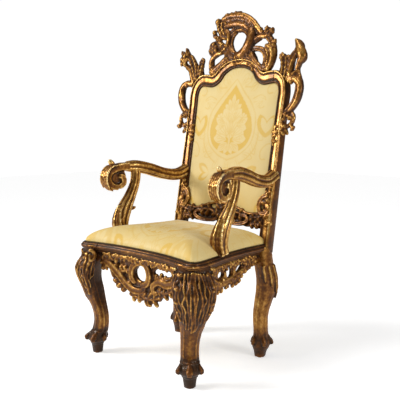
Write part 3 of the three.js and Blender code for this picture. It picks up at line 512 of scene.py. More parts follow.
def gilding(name, gold, foot=False):
    """Gilded wood that keeps more or less of its gold, with the shade that the relief mark paints in hollows;
    feet are rubbed almost black near the floor.
    """
    material = bpy.data.materials.new(name)
    material.use_nodes = True
    tree = material.node_tree
    if foot:
        where = add_node(tree, "ShaderNodeTexCoord")
        parts = add_node(tree, "ShaderNodeSeparateXYZ", _0=where.outputs["Object"])
        gold = add_node(tree, "ShaderNodeMapRange", Value=parts.outputs["Z"], From_Min=0.06, From_Max=0.13,
                        To_Min=gold - 0.50, To_Max=gold).outputs[0]
    mark = add_node(tree, "ShaderNodeAttribute", attribute_name="relief")
    toning = add_node(tree, "ShaderNodeGroup", node_tree=GILDING, Relief=mark.outputs["Fac"],
                    Gold=gold).outputs
    bump = add_node(tree, "ShaderNodeBump", Height=toning["Height"], Strength=0.35, Distance=0.0012)
    wire(tree, tree.nodes["Principled BSDF"], Base_Color=toning["Color"], Roughness=toning["Roughness"],
         Metallic=maths(tree, "MULTIPLY", toning["Gilt"], 0.72), Normal=bump.outputs[0], IOR=1.38,
         Specular_Tint=(1.0, 0.60, 0.30, 1), Coat_Weight=0.14, Coat_Roughness=0.14,
         Coat_Tint=(1.0, 0.86, 0.66, 1))
    material.diffuse_color = (0.35, 0.2, 0.07, 1)
    return material


gilt_rails = gilding("Gilding of the rails, worn, with painted shade", 0.11)

# The plan of the seat's edge, in 24 points counted from the middle of the front, to the right
half_plan = np.array([
    [0, -332], [140.7, -337.8], [241.2, -355], [321.6, -368], [335, -342], [318.5, -253.6], [292.1, -149.6],
    [274, -35.2], [266.7, 68.8], [261, 138], [245, 152], [130.5, 152]]) / 1000
whole_plan = np.vstack([half_plan, [[0, 0.152]], half_plan[:0:-1] * (-1, 1)])
PLAN_COUNT, PLAN_FINE = len(whole_plan), 24
PLAN = smooth(whole_plan, PLAN_COUNT * PLAN_FINE, closed=True)
PLAN_T = np.arange(len(PLAN)) / PLAN_FINE
front_end, side_front, side_rear, rear_end = 0.238, -0.275, 0.072, 0.207


def plan_row(start, end, step=0.05):
    """The seat's edge between two places, counted in plan points."""
    t = np.linspace(start, end, 1 + max(1, round((end - start) / step)))
    around = np.append(PLAN_T, PLAN_COUNT)
    closed = np.vstack([PLAN, PLAN[:1]])
    return np.column_stack([np.interp(t % PLAN_COUNT, around, closed[:, k]) for k in (0, 1)])


def plan_t(value, axis, first, last):
    """Where between two plan points the seat's edge has a value on one axis."""
    part = slice(first * PLAN_FINE, last * PLAN_FINE)
    row = PLAN[part, axis]
    way = np.sign(row[-1] - row[0])
    return float(np.interp(way * value, way * row, PLAN_T[part]))


front_t = plan_t(front_end, 0, 0, 3)
side_front_t, side_rear_t = plan_t(side_front, 1, 4, 9), plan_t(side_rear, 1, 4, 9)
rear_t = plan_t(rear_end, 0, 10, 12)


def other_side(start, end):
    """A stretch of the seat's edge on the right, as it lies on the left."""
    return PLAN_COUNT - end, PLAN_COUNT - start


def edge_y(x):
    """How far forward the front rail's face stands at x."""
    row = plan_row(-3, 3)
    return np.interp(x, row[:, 0], row[:, 1])


def edge_x(y):
    """How far out a side rail's face stands at y."""
    row = plan_row(3.2, 9)
    return np.interp(y, row[:, 1], row[:, 0])


apron_set_back = 0.018


def on_front(x, z, front):
    return spots_at(x, edge_y(x) + apron_set_back - front, z)


def on_side(side):
    return lambda y, z, out: spots_at(side * (edge_x(y) - apron_set_back + out), y, z)


# Each point of the rail moulding's section in millimetres, across and up, with how much gold the gilding
# shows there: gold on the outer ridges, dark in the grooves and on the inner and lower faces, partly worn
# gilding and partly painted shade.
RAIL_MARKS = np.array([
    (-42, -58, -1), (-24, -58, -1), (-8, -58, -0.7), (-4.5, -57.6, -0.2), (-3, -56, 0.0),
    (-2.4, -53.5, 0.1), (-3.4, -51, -0.2), (-6, -49.8, -0.6), (-7, -47, -0.5), (-7, -42, -0.4),
    (-6.4, -39.6, -0.7), (-3.6, -38.6, -0.3), (-2.4, -36.6, 0.2), (-2.0, -34, -0.2), (0.4, -31, -0.4),
    (4.2, -28.4, -0.2), (8.2, -26.6, 0.2), (9.4, -25.2, 0.6), (9.2, -23.8, -0.6), (11, -22.6, -0.4),
    (12.6, -20.4, 0.1), (13.3, -17.4, 0.45), (13.1, -14.2, 0.3), (11.8, -11.6, 0.0), (9.6, -10, -0.6),
    (8.2, -9.4, -0.8), (8.3, -8, -0.1), (7.6, -5.8, 0.4), (5.8, -4.2, 0.1), (3.4, -3.4, -0.5),
    (2.4, -2.6, -0.7), (1.4, -1.1, -0.4), (-1, -0.2, -0.6), (-5, 0, -0.8), (-24, 0, -1), (-42, 0, -1)])
RAIL = section("rail moulding", RAIL_MARKS[:, :2] / 1000, RAIL_MARKS[:, 2] - 0.12)


def rail_band(start, end):
    """The seat's edge moulding between two places."""
    row = plan_row(start, end)
    across = np.column_stack([sideways(row), np.zeros(len(row))])
    return sweep([(spots_at(row[:, 0], row[:, 1], SEAT), across,
                   np.tile([0.0, 0.0, 1.0], (len(row), 1)))], RAIL)


def pierced(outline, openings, back, front, place):
    """A pierced board of even grain, bent to its place."""
    curve = bpy.data.curves.new("board", "CURVE")
    curve.dimensions = "2D"
    curve.fill_mode = "BOTH"
    curve.extrude = (front - back) / 2
    for loop in (outline, *openings):
        row = smooth(loop, 8 * len(loop), closed=True)
        spline = curve.splines.new("POLY")
        spline.points.add(len(row) - 1)
        spline.points.foreach_set("co", np.column_stack([row, 0 * row[:, 0], 0 * row[:, 0] + 1]).ravel())
        spline.use_cyclic_u = True
    flat = bpy.data.objects.new("board", curve)
    corners, faces = remeshed(plain(flat), 0.003)
    return place(corners[:, 0], corners[:, 1], corners[:, 2] + (front + back) / 2), faces


def oval(x, y, half, tall, count=12):
    angle = np.linspace(0, 2 * math.pi, count, endpoint=False)
    return np.column_stack([x + half * np.cos(angle), y + tall * np.sin(angle)])


def frieze(place, start, end, count):
    """Leaf sprays of uneven size and lean, close under a rail's moulding."""
    found, size, high = [], (end - start) / count, SEAT - 0.037
    for k in range(count):
        x, lean = start + (k + 0.5 + HAND.uniform(-0.2, 0.2)) * size, HAND.uniform(-0.9, 0.9) * size
        drop = HAND.uniform(0.018, 0.026)
        line = np.array([[x - 0.4 * lean, high], [x, high - 0.5 * drop], [x + lean, high - drop]])
        found += [stroke(place, lobe, girth, 0.0120, 0.7)
                  for lobe, girth in leaf(line, HAND.uniform(0.009, 0.015), 2)]
    return sweep(found, KEEL)


# Front rail: the widest of the four, its apron a board pierced by four openings, with scrolls and leaves
# carved on its face and gilded. It is drawn in centimetres, with the rail's top at apron_top.
apron_across, apron_down, apron_top = 0.0100, 0.0100, 48.6


def apron_spot(points):
    return np.asarray(points, float) * (apron_across, apron_down) + (0, SEAT - apron_top * apron_down)


front_rim = [
    [24.4, 44], [16, 44], [8, 44], [0, 44], [-8, 44], [-16, 44], [-24.4, 44], [-24.4, 39.2],
    [-21.8, 37.6], [-20.4, 38.4], [-18.6, 34.6], [-16.2, 34.4], [-15.2, 35.6], [-13.2, 31.6],
    [-10.8, 31.4], [-9.8, 32.6], [-8.4, 29.2], [-5.8, 28.6], [-4.8, 29.4], [-3, 27.2], [-0.8, 27.6],
    [0.4, 28.9], [3.4, 27.2], [5.8, 27.8], [6.4, 29.6], [9.4, 29.0], [11.2, 31.0], [13.6, 31.0],
    [13.6, 33.0], [16.6, 32.6], [18, 34.8], [20.6, 34.6], [20.6, 36.8], [24.4, 37.4]]
front_openings = [
    oval(-1.5, 38.5, 3.5, 3.1),
    [[6.2, 40.4], [9, 42], [14, 42.2], [17.4, 41.4], [16, 39.6], [11, 39.2], [7.4, 38.8]],
    [[-15, 41.6], [-12, 41.8], [-11.6, 40], [-14.2, 39.4]],
    [[8.4, 34.4], [10.4, 35.6], [12.8, 35], [11, 33.4]]]
front_scrolls = [
    ([[-1.5, 33.6], [3, 35.4], [4, 39.4], [1.4, 42.6], [-2.6, 42.8], [-6, 40.4], [-6.6, 37], [-4.4, 34]],
     [1.2, 1.6, 1.7, 1.4, 1.4, 1.6, 1.6, 1]),
    ([[-23, 42], [-18.4, 39.6], [-13.4, 36.2], [-9, 32.8], [-4.6, 31.2], [0.6, 32.2], [1.6, 34.2]],
     [1.2, 1.7, 1.9, 1.8, 1.7, 1.3, 0.8]),
    ([[22.6, 41.4], [19.2, 38.2], [14.6, 36.8], [9.6, 36.9], [6.2, 34.4], [7.4, 32.2], [9.4, 32.6]],
     [1.4, 1.8, 1.8, 1.5, 1.4, 1.2, 0.8]),
    ([[-21.4, 41.6], [-18.6, 43.0], [-15.8, 42.2]], [1.3, 1.4, 0.8])]
front_leaves = [
    ([[-6, 33], [-10, 32.4], [-13.4, 33.8], [-17.6, 36.4]], 2.7, 4),
    ([[-3, 31], [1, 29.4], [5.4, 29.2], [10.4, 30.8]], 2.6, 4),
    ([[9, 34.4], [12.6, 33.2], [16.0, 34], [19.6, 36]], 2.0, 3),
    ([[-8.4, 39.2], [-11.6, 38.2], [-15, 38.4], [-18.6, 40.6]], 1.9, 3),
    ([[20.6, 43.4], [21.4, 40], [20.2, 36.2]], 2.2, 3),
    ([[-21.6, 42.8], [-22.4, 40.6], [-20.8, 37]], 1.9, 3),
    ([[-7.8, 30.8], [-4.4, 28.9], [-0.4, 28.6]], 1.6, 3),
    ([[7, 38.0], [10.4, 38.6], [13.6, 38.8], [17.6, 40.0]], 1.2, 3)]
carving = [pierced(apron_spot(front_rim), [apron_spot(loop) for loop in front_openings],
                   -0.011, 0.004, on_front),
           scrolls(on_front, front_scrolls, 0.0055, 0.75, SCROLL, apron_spot, apron_down),
           foliage(on_front, front_leaves, 0.0050, 0.8, apron_spot, apron_down),
           frieze(on_front, -0.226, 0.226, 17)]
carved("front_rail", gilt_rails, carving, [rail_band(-front_t, front_t)],
       front=lambda p: p * 0 + (0, -1, 0))

# Side rails: shorter and shallower than the front one, each with a smaller pierced apron, tenoned between the
# legs. The rear rail closes the frame with the moulding alone, since it stands against the wall.
side_middle = (side_front + side_rear) / 2
side_along = (side_rear - side_front + 0.012) / 35.8
side_top = SEAT - apron_top * apron_down


def side_spot(points):
    return np.asarray(points, float) * (side_along, apron_down) + (side_middle, side_top)


side_rim = [
    [17.9, 44], [9, 44], [0, 44], [-9, 44], [-17.9, 44], [-17.9, 38.4], [-13.8, 37], [-12, 33.8],
    [-10.2, 35.8], [-8.6, 33.2], [-6.6, 36], [-4.6, 36.6], [-2.6, 33.6], [-0.8, 36], [1.6, 34.8],
    [3.4, 36.6], [6, 36.2], [7.2, 37.8], [10, 37.8], [12.4, 39.6], [17.9, 40.6]]
side_openings = [
    oval(-1.2, 40.2, 1.7, 2.1), oval(-7.3, 40.4, 1.8, 1.2),
    [[3, 39.2], [4.4, 39.2], [7.6, 41.8], [6.2, 42.2]]]
side_scrolls = [
    ([[-14, 40], [-10, 37.6], [-3, 37.4], [10, 40.2]], [1, 1.3, 1.2, 0.9]),
    ([[-4.6, 41.6], [-4.0, 38.6], [-1.2, 37.2], [1.6, 38.6], [1.8, 41.6], [0, 43]],
     [0.8, 1, 1.1, 1, 0.9, 0.7])]
side_leaves = [
    ([[-4, 38], [-7.6, 36.2], [-11.6, 36.2], [-15.8, 39]], 2.2, 5),
    ([[-1, 37.6], [1.6, 36.4], [4.6, 37.2], [8.8, 39]], 1.9, 5),
    ([[8.4, 40], [11.6, 40.8], [15.8, 41.8]], 1.7, 4),
    ([[-15.4, 42.6], [-12, 42.2], [-9.4, 42.6]], 1.1, 3),
    ([[-8.8, 37.6], [-9.2, 35.8], [-8.6, 34.0]], 1.2, 3),
    ([[-2.2, 37.4], [-2.6, 35.8], [-2.4, 34.4]], 1.1, 3)]
for name, side in SIDES:
    place = on_side(side)
    carving = [pierced(side_spot(side_rim), [side_spot(loop) for loop in side_openings],
                       -0.011, 0.004, place),
               scrolls(place, side_scrolls, 0.0055, 0.75, SCROLL, side_spot, apron_down),
               foliage(place, side_leaves, 0.0050, 0.8, side_spot, apron_down),
               frieze(place, -0.262, 0.060, 12)]
    span = (side_front_t, side_rear_t)
    span = span if side > 0 else other_side(*span)
    carved("side_rail_" + name, gilt_rails, carving, [rail_band(*span)],
           front=lambda p: p * 0 + (side, 0, 0))
carved("rear_rail", gilt_rails, [], [rail_band(rear_t, PLAN_COUNT - rear_t)])

# Front legs: each a cabriole cut from one block, with a leafy knee, a pointed ear of moulding at the seat's
# corner, a fluted shank and a scrolled cuff over a dark tapered foot. The corner is carved in one with it.
leg_unit = 0.420 / 42.8
front_leg_rows = np.array([
    [0, -2.2, 2.1, 2.2, 0], [3.2, -2.6, 2.6, 2.7, 0], [4.4, -2.8, 2.9, 3, 0], [5.6, -3.8, 4, 4.2, 0],
    [7.2, -4, 4.2, 4.2, 0], [10, -4.6, 2.4, 3.7, 0], [15, -5, 1.4, 3.6, 0], [20, -4.3, 2.4, 4, 0.4],
    [24, -3.5, 4.4, 4.8, 1], [28.5, -2.7, 6.1, 5.8, 1.6], [32.4, -1.9, 7.8, 6.8, 1.8],
    [36.4, -2, 8.9, 7.4, 1.8], [39.4, -2.9, 8.2, 7.4, 1.6], [41.8, -3.4, 6.2, 7, 1.4],
    [47.6, -3.4, 5.2, 6, 1.4]])
rear_leg_rows = np.array([
    [0, -2.5, 2.2, 2.4, 0], [2.4, -2.8, 2.8, 2.7, 0], [4.4, -3.5, 3.9, 3.3, 0],
    [6.4, -3.6, 4.4, 3.6, 0], [9.4, -3.1, 3.5, 3.3, 0], [18, -3.3, 3.3, 3.2, 0],
    [23, -2.9, 4.6, 3.6, 0], [28.5, -2.2, 6.4, 4.2, 0], [34, -2.1, 6.5, 4.6, 0],
    [40.5, -3, 5.2, 4.5, 0], [47.6, -3, 4.2, 4, 0]])


def leg_rows(rows, count=140):
    """A leg's rows at even heights, smoothed between those drawn."""
    row = np.column_stack([smooth(rows[:, [0, k]], count)[:, 1] for k in (1, 2, 3, 4)])
    return np.column_stack([smooth(rows[:, [0, 1]], count)[:, 0], row])


def leg_ways(side, facing):
    """The outward diagonal of a leg, and the way across it."""
    return unit(np.array([side, facing, 0.0])), unit(np.array([side, -facing, 0.0]))


def leg_place(rows, foot, side, facing, power):
    """Where a place on a leg's skin is, by height and turn from the outward diagonal, and the way out."""
    table = leg_rows(rows)
    ahead, aside = leg_ways(side, facing)
    def place(level, turn, proud=0.0):
        level, turn = np.broadcast_arrays(np.asarray(level, float), np.asarray(turn, float))
        inner, outer, half, lean = (np.interp(level, table[:, 0], table[:, k]) for k in (1, 2, 3, 4))
        c, s = np.cos(turn), np.sin(turn)
        oy, ox = np.sign(c) * np.abs(c) ** (2 / power), np.sign(s) * np.abs(s) ** (2 / power)
        along = (inner + outer) / 2 + oy * (outer - inner) / 2
        across = ox * half + lean
        flat = ahead * along[..., None] + aside * across[..., None]
        way = ahead * (c / np.maximum(outer - inner, 1) * 8)[..., None]
        way = unit(way + aside * (s / half * 4)[..., None])
        spot = flat * leg_unit + way * np.asarray(proud)[..., None] + (side * foot[0], foot[1], 0)
        spot[..., 2] = level * leg_unit
        return spot, way
    return place


def leg_body(rows, foot, side, facing, power, top):
    """A leg's plain body, swept from floor to seat."""
    table = leg_rows(rows)
    table = table[table[:, 0] <= top / leg_unit + 1e-6]
    ahead, aside = leg_ways(side, facing)
    centre = ahead * ((table[:, 1] + table[:, 2]) / 2)[:, None] + aside * table[:, 4][:, None]
    at = centre * leg_unit + np.array([side * foot[0], foot[1], 0.0])
    at[:, 2] = table[:, 0] * leg_unit
    bend = 2 / power - 1
    shape = section("leg", ring(40, lambda c, s: (np.abs(c) ** bend, np.abs(s) ** bend)))
    return sweep([(at, aside * (table[:, 3] * leg_unit)[:, None],
                   ahead * ((table[:, 2] - table[:, 1]) / 2 * leg_unit)[:, None])], shape)


def ridge(skin, levels, turn, lift, girth, rise):
    """A strand down a leg's skin at one turn, lifted off it."""
    return strand(*skin(levels, np.full(len(levels), turn), lift), girth, rise)


gilt_legs = gilding("Gilding of the legs, worn, with painted shade", 0.19, foot=True)
knee_round = 0.05
knee_leaf = np.array([[0.046, 0.44], [0.062, 0.38], [0.066, 0.31], [0.054, 0.255]])
knee_ear = np.array([
    [0.060, 0.448], [0.082, 0.446], [0.096, 0.428], [0.088, 0.408], [0.072, 0.412], [0.074, 0.426]])
corner_x, corner_y, diagonal = 0.95 * 0.335, -0.354, math.sqrt(0.5)


def leg_tone(p):
    """Less gold on the knee than on the shank, and least on the foot."""
    return -0.22 * np.clip((p[:, 2] - 0.22) / 0.05, 0, 1) - 0.40 * (p[:, 2] < 0.11)


for name, side in SIDES:
    foot = (0.282, -0.337)
    skin = leg_place(front_leg_rows, foot, side, -1, 1.5)
    carving = [leg_body(front_leg_rows, foot, side, -1, 1.5, 0.470)]

    def on_knee(a, z, proud, skin=skin):
        return skin(np.asarray(z) / leg_unit, np.asarray(a) / knee_round, proud)[0]
    knee = []
    for k, turn in enumerate(np.linspace(-2.0, 2.0, 21)):
        start = 45.5 - 1.0 * abs(turn)
        end = 22.5 + 11.0 * (abs(turn) / 2) ** 1.4 + HAND.uniform(-1.5, 1.5)
        level = np.linspace(start, end, 9)
        sway = turn * (0.86 + 0.24 * np.sin(np.linspace(0.1, 2.6, 9))) + HAND.uniform(-0.09, 0.09, 9)
        curl = HAND.uniform(0.000, 0.003) + 0.007 * (abs(turn) > 1.5)
        lift = np.array([0.006, 0.002, 0.0005, 0.0008, 0.001, 0.0012, 0.0012, 0.5 * curl, curl])
        lift = lift + (k % 2) * 0.0018
        spot, way = skin(level, sway, lift)
        girth = np.array([0.0040, 0.0046, 0.0050, 0.0046, 0.0042, 0.0036, 0.0022]) * HAND.uniform(0.8, 1.25)
        knee.append(strand(spot, way, girth, 1.15, 0.10, 0.027))
    carving.append(sweep(knee, ROUND))
    leaves = [(knee_leaf * (hand, 1), 0.015, 4, (hand,), 0.6) for hand in (1, -1)]
    carving.append(foliage(on_knee, leaves, 0.002, 0.9))
    ears = [(knee_ear * (hand, 1), [0.006, 0.0075, 0.008, 0.0075, 0.0065, 0.005]) for hand in (-1, 1)]
    carving.append(scrolls(on_knee, ears, 0.006, 0.8, ROUND))
    foot_strokes = []
    for turn, start, end in ((0.82, 24, 9), (-0.82, 24, 9), (2.2, 36, 9), (-2.2, 36, 9), (math.pi, 36, 9)):
        foot_strokes.append(ridge(
            skin, np.linspace(start, end, 12), turn, -0.0020, [0.0036, 0.0042, 0.0046, 0.0042], 0.9))
    for turn in (0.0, 1.25, -1.25, 2.5, -2.5):
        foot_strokes.append(ridge(
            skin, [9.8, 8.8, 7.8, 6.8, 5.8], turn, [-0.004, -0.002, 0.001, 0.004, 0.004],
            [0.006, 0.0095, 0.0130, 0.0140, 0.0125], 0.8))
        foot_strokes.append(ridge(skin, [7.0, 6.1, 5.2], turn, [0.006, 0.008, 0.006], [0.010], 0.6))
    for level, sunk, girth in ((9.6, -0.0015, 0.0042), (4.4, -0.001, 0.004)):
        spot, way = skin(np.full(41, level), np.linspace(0, 2 * math.pi, 41), sunk)
        foot_strokes.append(strand(spot, way, [girth], 0.8, blunt=True))
    carving.append(sweep(foot_strokes, ROUND))

    def on_corner(a, z, aside):
        return spots_at(side * (corner_x + (a + aside) * diagonal), corner_y - (a - aside) * diagonal, z)

    tip = SEAT - 0.0174
    carving.append(sweep([stroke(on_corner, [(-0.014, tip + 0.002), (0.012, tip), (0.028, tip + 0.003)],
                                 [0.010, 0.009, 0.003], 0, 1.4)], ROUND))
    span = (front_t + 0.004, side_front_t - 0.004)
    span = span if side > 0 else other_side(*span)
    carved("front_leg_" + name, gilt_legs, carving, [rail_band(*span)], voxel=0.0027, tone=leg_tone)

# Back: two rear posts, each leg, seat corner and stile in one, joined over the panel by the crest rail. The
# stiles and the crest's foot are one moulding round the panel, gilded on its outer ridge and inner rim.
rake = math.radians(9.9)
back_foot, stile_x = 0.121, 0.255


def on_back(x, up, front):
    return spots_at(x, back_foot + up * math.sin(rake) - front * math.cos(rake),
                    SEAT + up * math.cos(rake) + front * math.sin(rake))


def to_front(corners):
    return np.tile([0.0, -math.cos(rake), math.sin(rake)], (len(corners), 1))


crest_unit, arch_foot, moulding_half = 0.010, 0.714, 0.022
arch = [
    [25.6, -13], [25.6, -8], [24.4, -4.4], [21.6, -2.2], [18.2, -2.2], [14.8, -2.6], [12.2, -1.4],
    [9.4, 1.6], [5.2, 3.9]]
arch_shares = [1, 1, 1.05, 1.2, 1.27, 1.2, 1.1, 0.95, 0.86]
frame_half = [([stile_x, -0.0478], 0.030), ([stile_x, 0.36 * arch_foot], 0.026),
              ([stile_x, 0.74 * arch_foot], moulding_half)]
frame_half += [([x * crest_unit, arch_foot + up * crest_unit], moulding_half * share)
               for (x, up), share in zip(arch, arch_shares)]
frame_line = frame_half + [([0, 0.761], moulding_half * 0.84)]
frame_line += [([-x, up], half) for (x, up), half in frame_half[::-1]]
FRAME = smooth([p for p, _ in frame_line], 520, [half for _, half in frame_line])
# Each point of the frame moulding's section, across it from the inner edge (-1) to the outer (1) and forward
# in metres, with how much gold the gilding shows there: gold on the outer ridge and the field, dark in the
# grooves and on the inner side, partly worn gilding and partly painted shade.
FRAME_MARKS = np.array([
    (-1, -0.020, -0.1), (-0.96, -0.0208, 0.0), (0.94, -0.0208, 0.0), (1, -0.0195, 0.0),
    (1, -0.004, 0.0), (1.0, 0.004, -0.1), (0.98, 0.0085, 0.0), (0.93, 0.0135, 0.2), (0.86, 0.0176, 0.6),
    (0.78, 0.0193, 0.9), (0.69, 0.0191, 0.8), (0.61, 0.0174, 0.2), (0.55, 0.0156, -0.3),
    (0.50, 0.0144, -0.3), (0.42, 0.0134, 0.1), (0.28, 0.0126, 0.4), (0.12, 0.0124, 0.5),
    (-0.05, 0.0124, 0.5), (-0.22, 0.0122, 0.4), (-0.38, 0.0110, 0.1), (-0.50, 0.0094, -0.3),
    (-0.57, 0.0078, -0.8), (-0.63, 0.0084, -0.7), (-0.70, 0.0106, -0.2), (-0.80, 0.0114, 0.0),
    (-0.90, 0.0104, -0.1), (-0.97, 0.0076, -0.2), (-1, 0.0035, -0.3), (-1, -0.008, -0.4)])
FRAME_SECTION = section("frame moulding", FRAME_MARKS[:, :2], FRAME_MARKS[:, 2] + 0.10)


def frame_band(keep):
    """The part of the back's moulding that a piece keeps."""
    row = FRAME[keep(FRAME[:, 0], FRAME[:, 1])]
    side = sideways(row[:, :2])
    at = on_back(row[:, 0], row[:, 1], 0)
    edge = row[:, :2] + side * row[:, 2:]
    across = on_back(edge[:, 0], edge[:, 1], 0) - at
    return sweep([(at, across, on_back(row[:, 0], row[:, 1], 1.0) - at)], FRAME_SECTION)


def crest_spot(points, reach=1.0, drop=0.0):
    return np.asarray(points, float) * (crest_unit * reach, crest_unit) + (0, arch_foot - drop * crest_unit)


bracket_strokes = [
    ([[1.5, -4.2], [5, -3.2], [8.3, -3.9], [9.5, -7], [8.8, -11.4], [6.4, -15], [2.4, -18]],
     [1.3, 1.4, 1.7, 1.9, 1.9, 1.7, 1.5]),
    ([[2.4, -16.6], [5.8, -17], [8, -18.8], [7.6, -21.2], [5.4, -22.8], [2, -22.4]],
     [1.1, 1, 1, 1, 1, 1.1]),
    ([[7, -21.6], [7.8, -23], [8.6, -23.8]], [0.9, 0.8, 0.4]),
    ([[1.6, -23], [4, -24.6], [6, -26.4]], [1.6, 1.2, 0.6])]
flower_strokes = [
    ([[2, -2.6], [4, 1], [4.6, 3.8], [7, 5.6], [10, 6.8]], [1.7, 1.3, 0.9, 0.9, 1.4]),
    ([[0.5, 0], [2.4, 4.6], [4.6, 8.4], [7, 11]], [2.2, 2, 1.4, 1.3]),
    ([[10, 6.6], [11.2, 9], [9.2, 11.6]], [1.6, 1.9, 1.7]),
    ([[7, 10], [9, 12.4], [9.4, 14.6]], [1.4, 1.3, 0.6]),
    ([[9.6, 10.4], [11.6, 12], [12.4, 13.4]], [1.5, 1.2, 0.6]),
    ([[-2.5, -0.4], [-1.2, 4], [-1.8, 7.8], [-2.4, 9.2]], [1.8, 1.5, 1.3, 1])]
horn_strokes = [
    ([[1.4, -2.8], [2.4, 2], [3.2, 6.6], [5.6, 9.6]], [2, 1.9, 1.7, 1.5]),
    ([[5, 9.6], [8.2, 8.2], [9.2, 6], [7.6, 4]], [1.6, 1.8, 1.5, 0.8]),
    ([[4.2, 7.8], [6.6, 10.4], [5.6, 12.6], [3.9, 14.2]], [1.6, 2.1, 1.5, 0.5]),
    ([[7.8, 4.4], [7, 1.4], [8, -1.4], [8.8, -4.6]], [1, 0.9, 1.1, 1.5]),
    ([[-1.6, -1.6], [-1.2, 3.6], [-1.8, 7.4], [-3, 8.4]], [2, 1.6, 1.3, 0.6]),
    ([[0.2, -1], [0.8, 4.4], [0.2, 8.2]], [1.8, 1.6, 1])]
bracket_smooth = ([[2.0, -3.4], [5.6, -2.2], [9.0, -4.4], [9.2, -8.6], [7.6, -12.6], [4.4, -16]],
                  [1.1, 1.2, 1.4, 1.4, 1.2, 0.9])
horn_smooth = [
    ([[3.9, 14.4], [5.6, 12.2], [7.2, 9.8], [8.6, 7.0], [7.6, 4.2], [6.2, 1.0]],
     [0.5, 1.3, 2.1, 2.2, 1.4, 0.7]),
    ([[4.0, -3.4], [3.0, 0.6], [3.6, 4.4], [5.2, 7.6], [5.8, 10.6]], [1.2, 1.3, 1.2, 1.1, 0.7]),
    bracket_smooth]
flower_smooth = [([[1.6, -3.0], [3.6, 0.6], [5.2, 3.6], [8.2, 5.4]], [1.2, 1.2, 1.1, 0.8]), bracket_smooth]
horn_plumes = [
    ([[-1.2, -2.2], [-1.0, 2.6], [-2.4, 6.8], [-3.6, 8.0]], [1.4, 1.5, 1.2, 0.8]),
    ([[0.6, -2.2], [1.0, 2.8], [0.0, 7.6]], [1.3, 1.4, 0.8]),
    ([[2.2, -2.6], [2.4, 1.6], [1.8, 5.2]], [1.2, 1.2, 0.7]),
    ([[3.6, -2.6], [5.6, 0.2], [8.0, 1.4]], [1.1, 1.1, 0.7])]
flower_plumes = [
    ([[0.6, -1.6], [2.6, 3.2], [5.0, 7.0], [7.2, 9.4]], [1.2, 1.3, 1.2, 0.9]),
    ([[-0.4, -1.8], [0.8, 3.4], [2.8, 7.4], [5.0, 9.8]], [1.2, 1.2, 1.0, 0.6]),
    ([[-2.6, -1.4], [-2.4, 3.0], [-3.0, 6.4]], [1.3, 1.3, 0.8]),
    ([[-1.2, 0.4], [-0.9, 4.4], [-1.4, 8.2]], [1.1, 1.2, 0.8]),
    ([[7.2, 10.4], [9, 12.4], [9.6, 14.8]], [1.2, 1.0, 0.4]),
    ([[10, 10.4], [11.8, 11.8], [12.6, 13.6]], [1.2, 0.9, 0.4])]
horn_blooms = [([-2.4, 7.6], 0.017, 5, 0.0)]
flower_blooms = [([9.8, 8.4], 0.036, 5, 0.2), ([-2.6, 7.6], 0.018, 5, 0.0)]
shoulder_leaves = [
    ([[1.2, -18.4], [2.6, -22], [1.6, -26.4]], 1.5, 3),
    ([[6.6, -20.6], [8.0, -22.4], [8.6, -23.8]], 0.8, 2),
    ([[1.6, -1.6], [5.0, -3.0], [8.6, -2.8]], 1.1, 3),
    ([[8.8, -6.4], [7.8, -9.6], [8.0, -12.4]], 0.8, 2),
    ([[1.0, -16.0], [3.6, -17.2], [7.6, -18.6]], 1.0, 3)]
foot_scroll = ([[0.2, 20], [-3.2, 18.4], [-4.4, 15], [-2.8, 12], [0.0, 12.4], [0.6, 14.8], [-1.2, 16]],
               [1, 1.1, 1.1, 1, 0.9, 0.8, 0.6])
stile_leaves = [
    ([[1.6, 7], [0.6, 12], [-1.2, 17], [-1.6, 22]], 1.7, 5), ([[0, 20], [0.6, 25], [0.4, 29]], 1.2, 4),
    ([[-1.0, 49], [-0.8, 45], [-1.2, 40]], 1.1, 4)]


def stile_spot(points):
    return np.asarray(points, float) * crest_unit


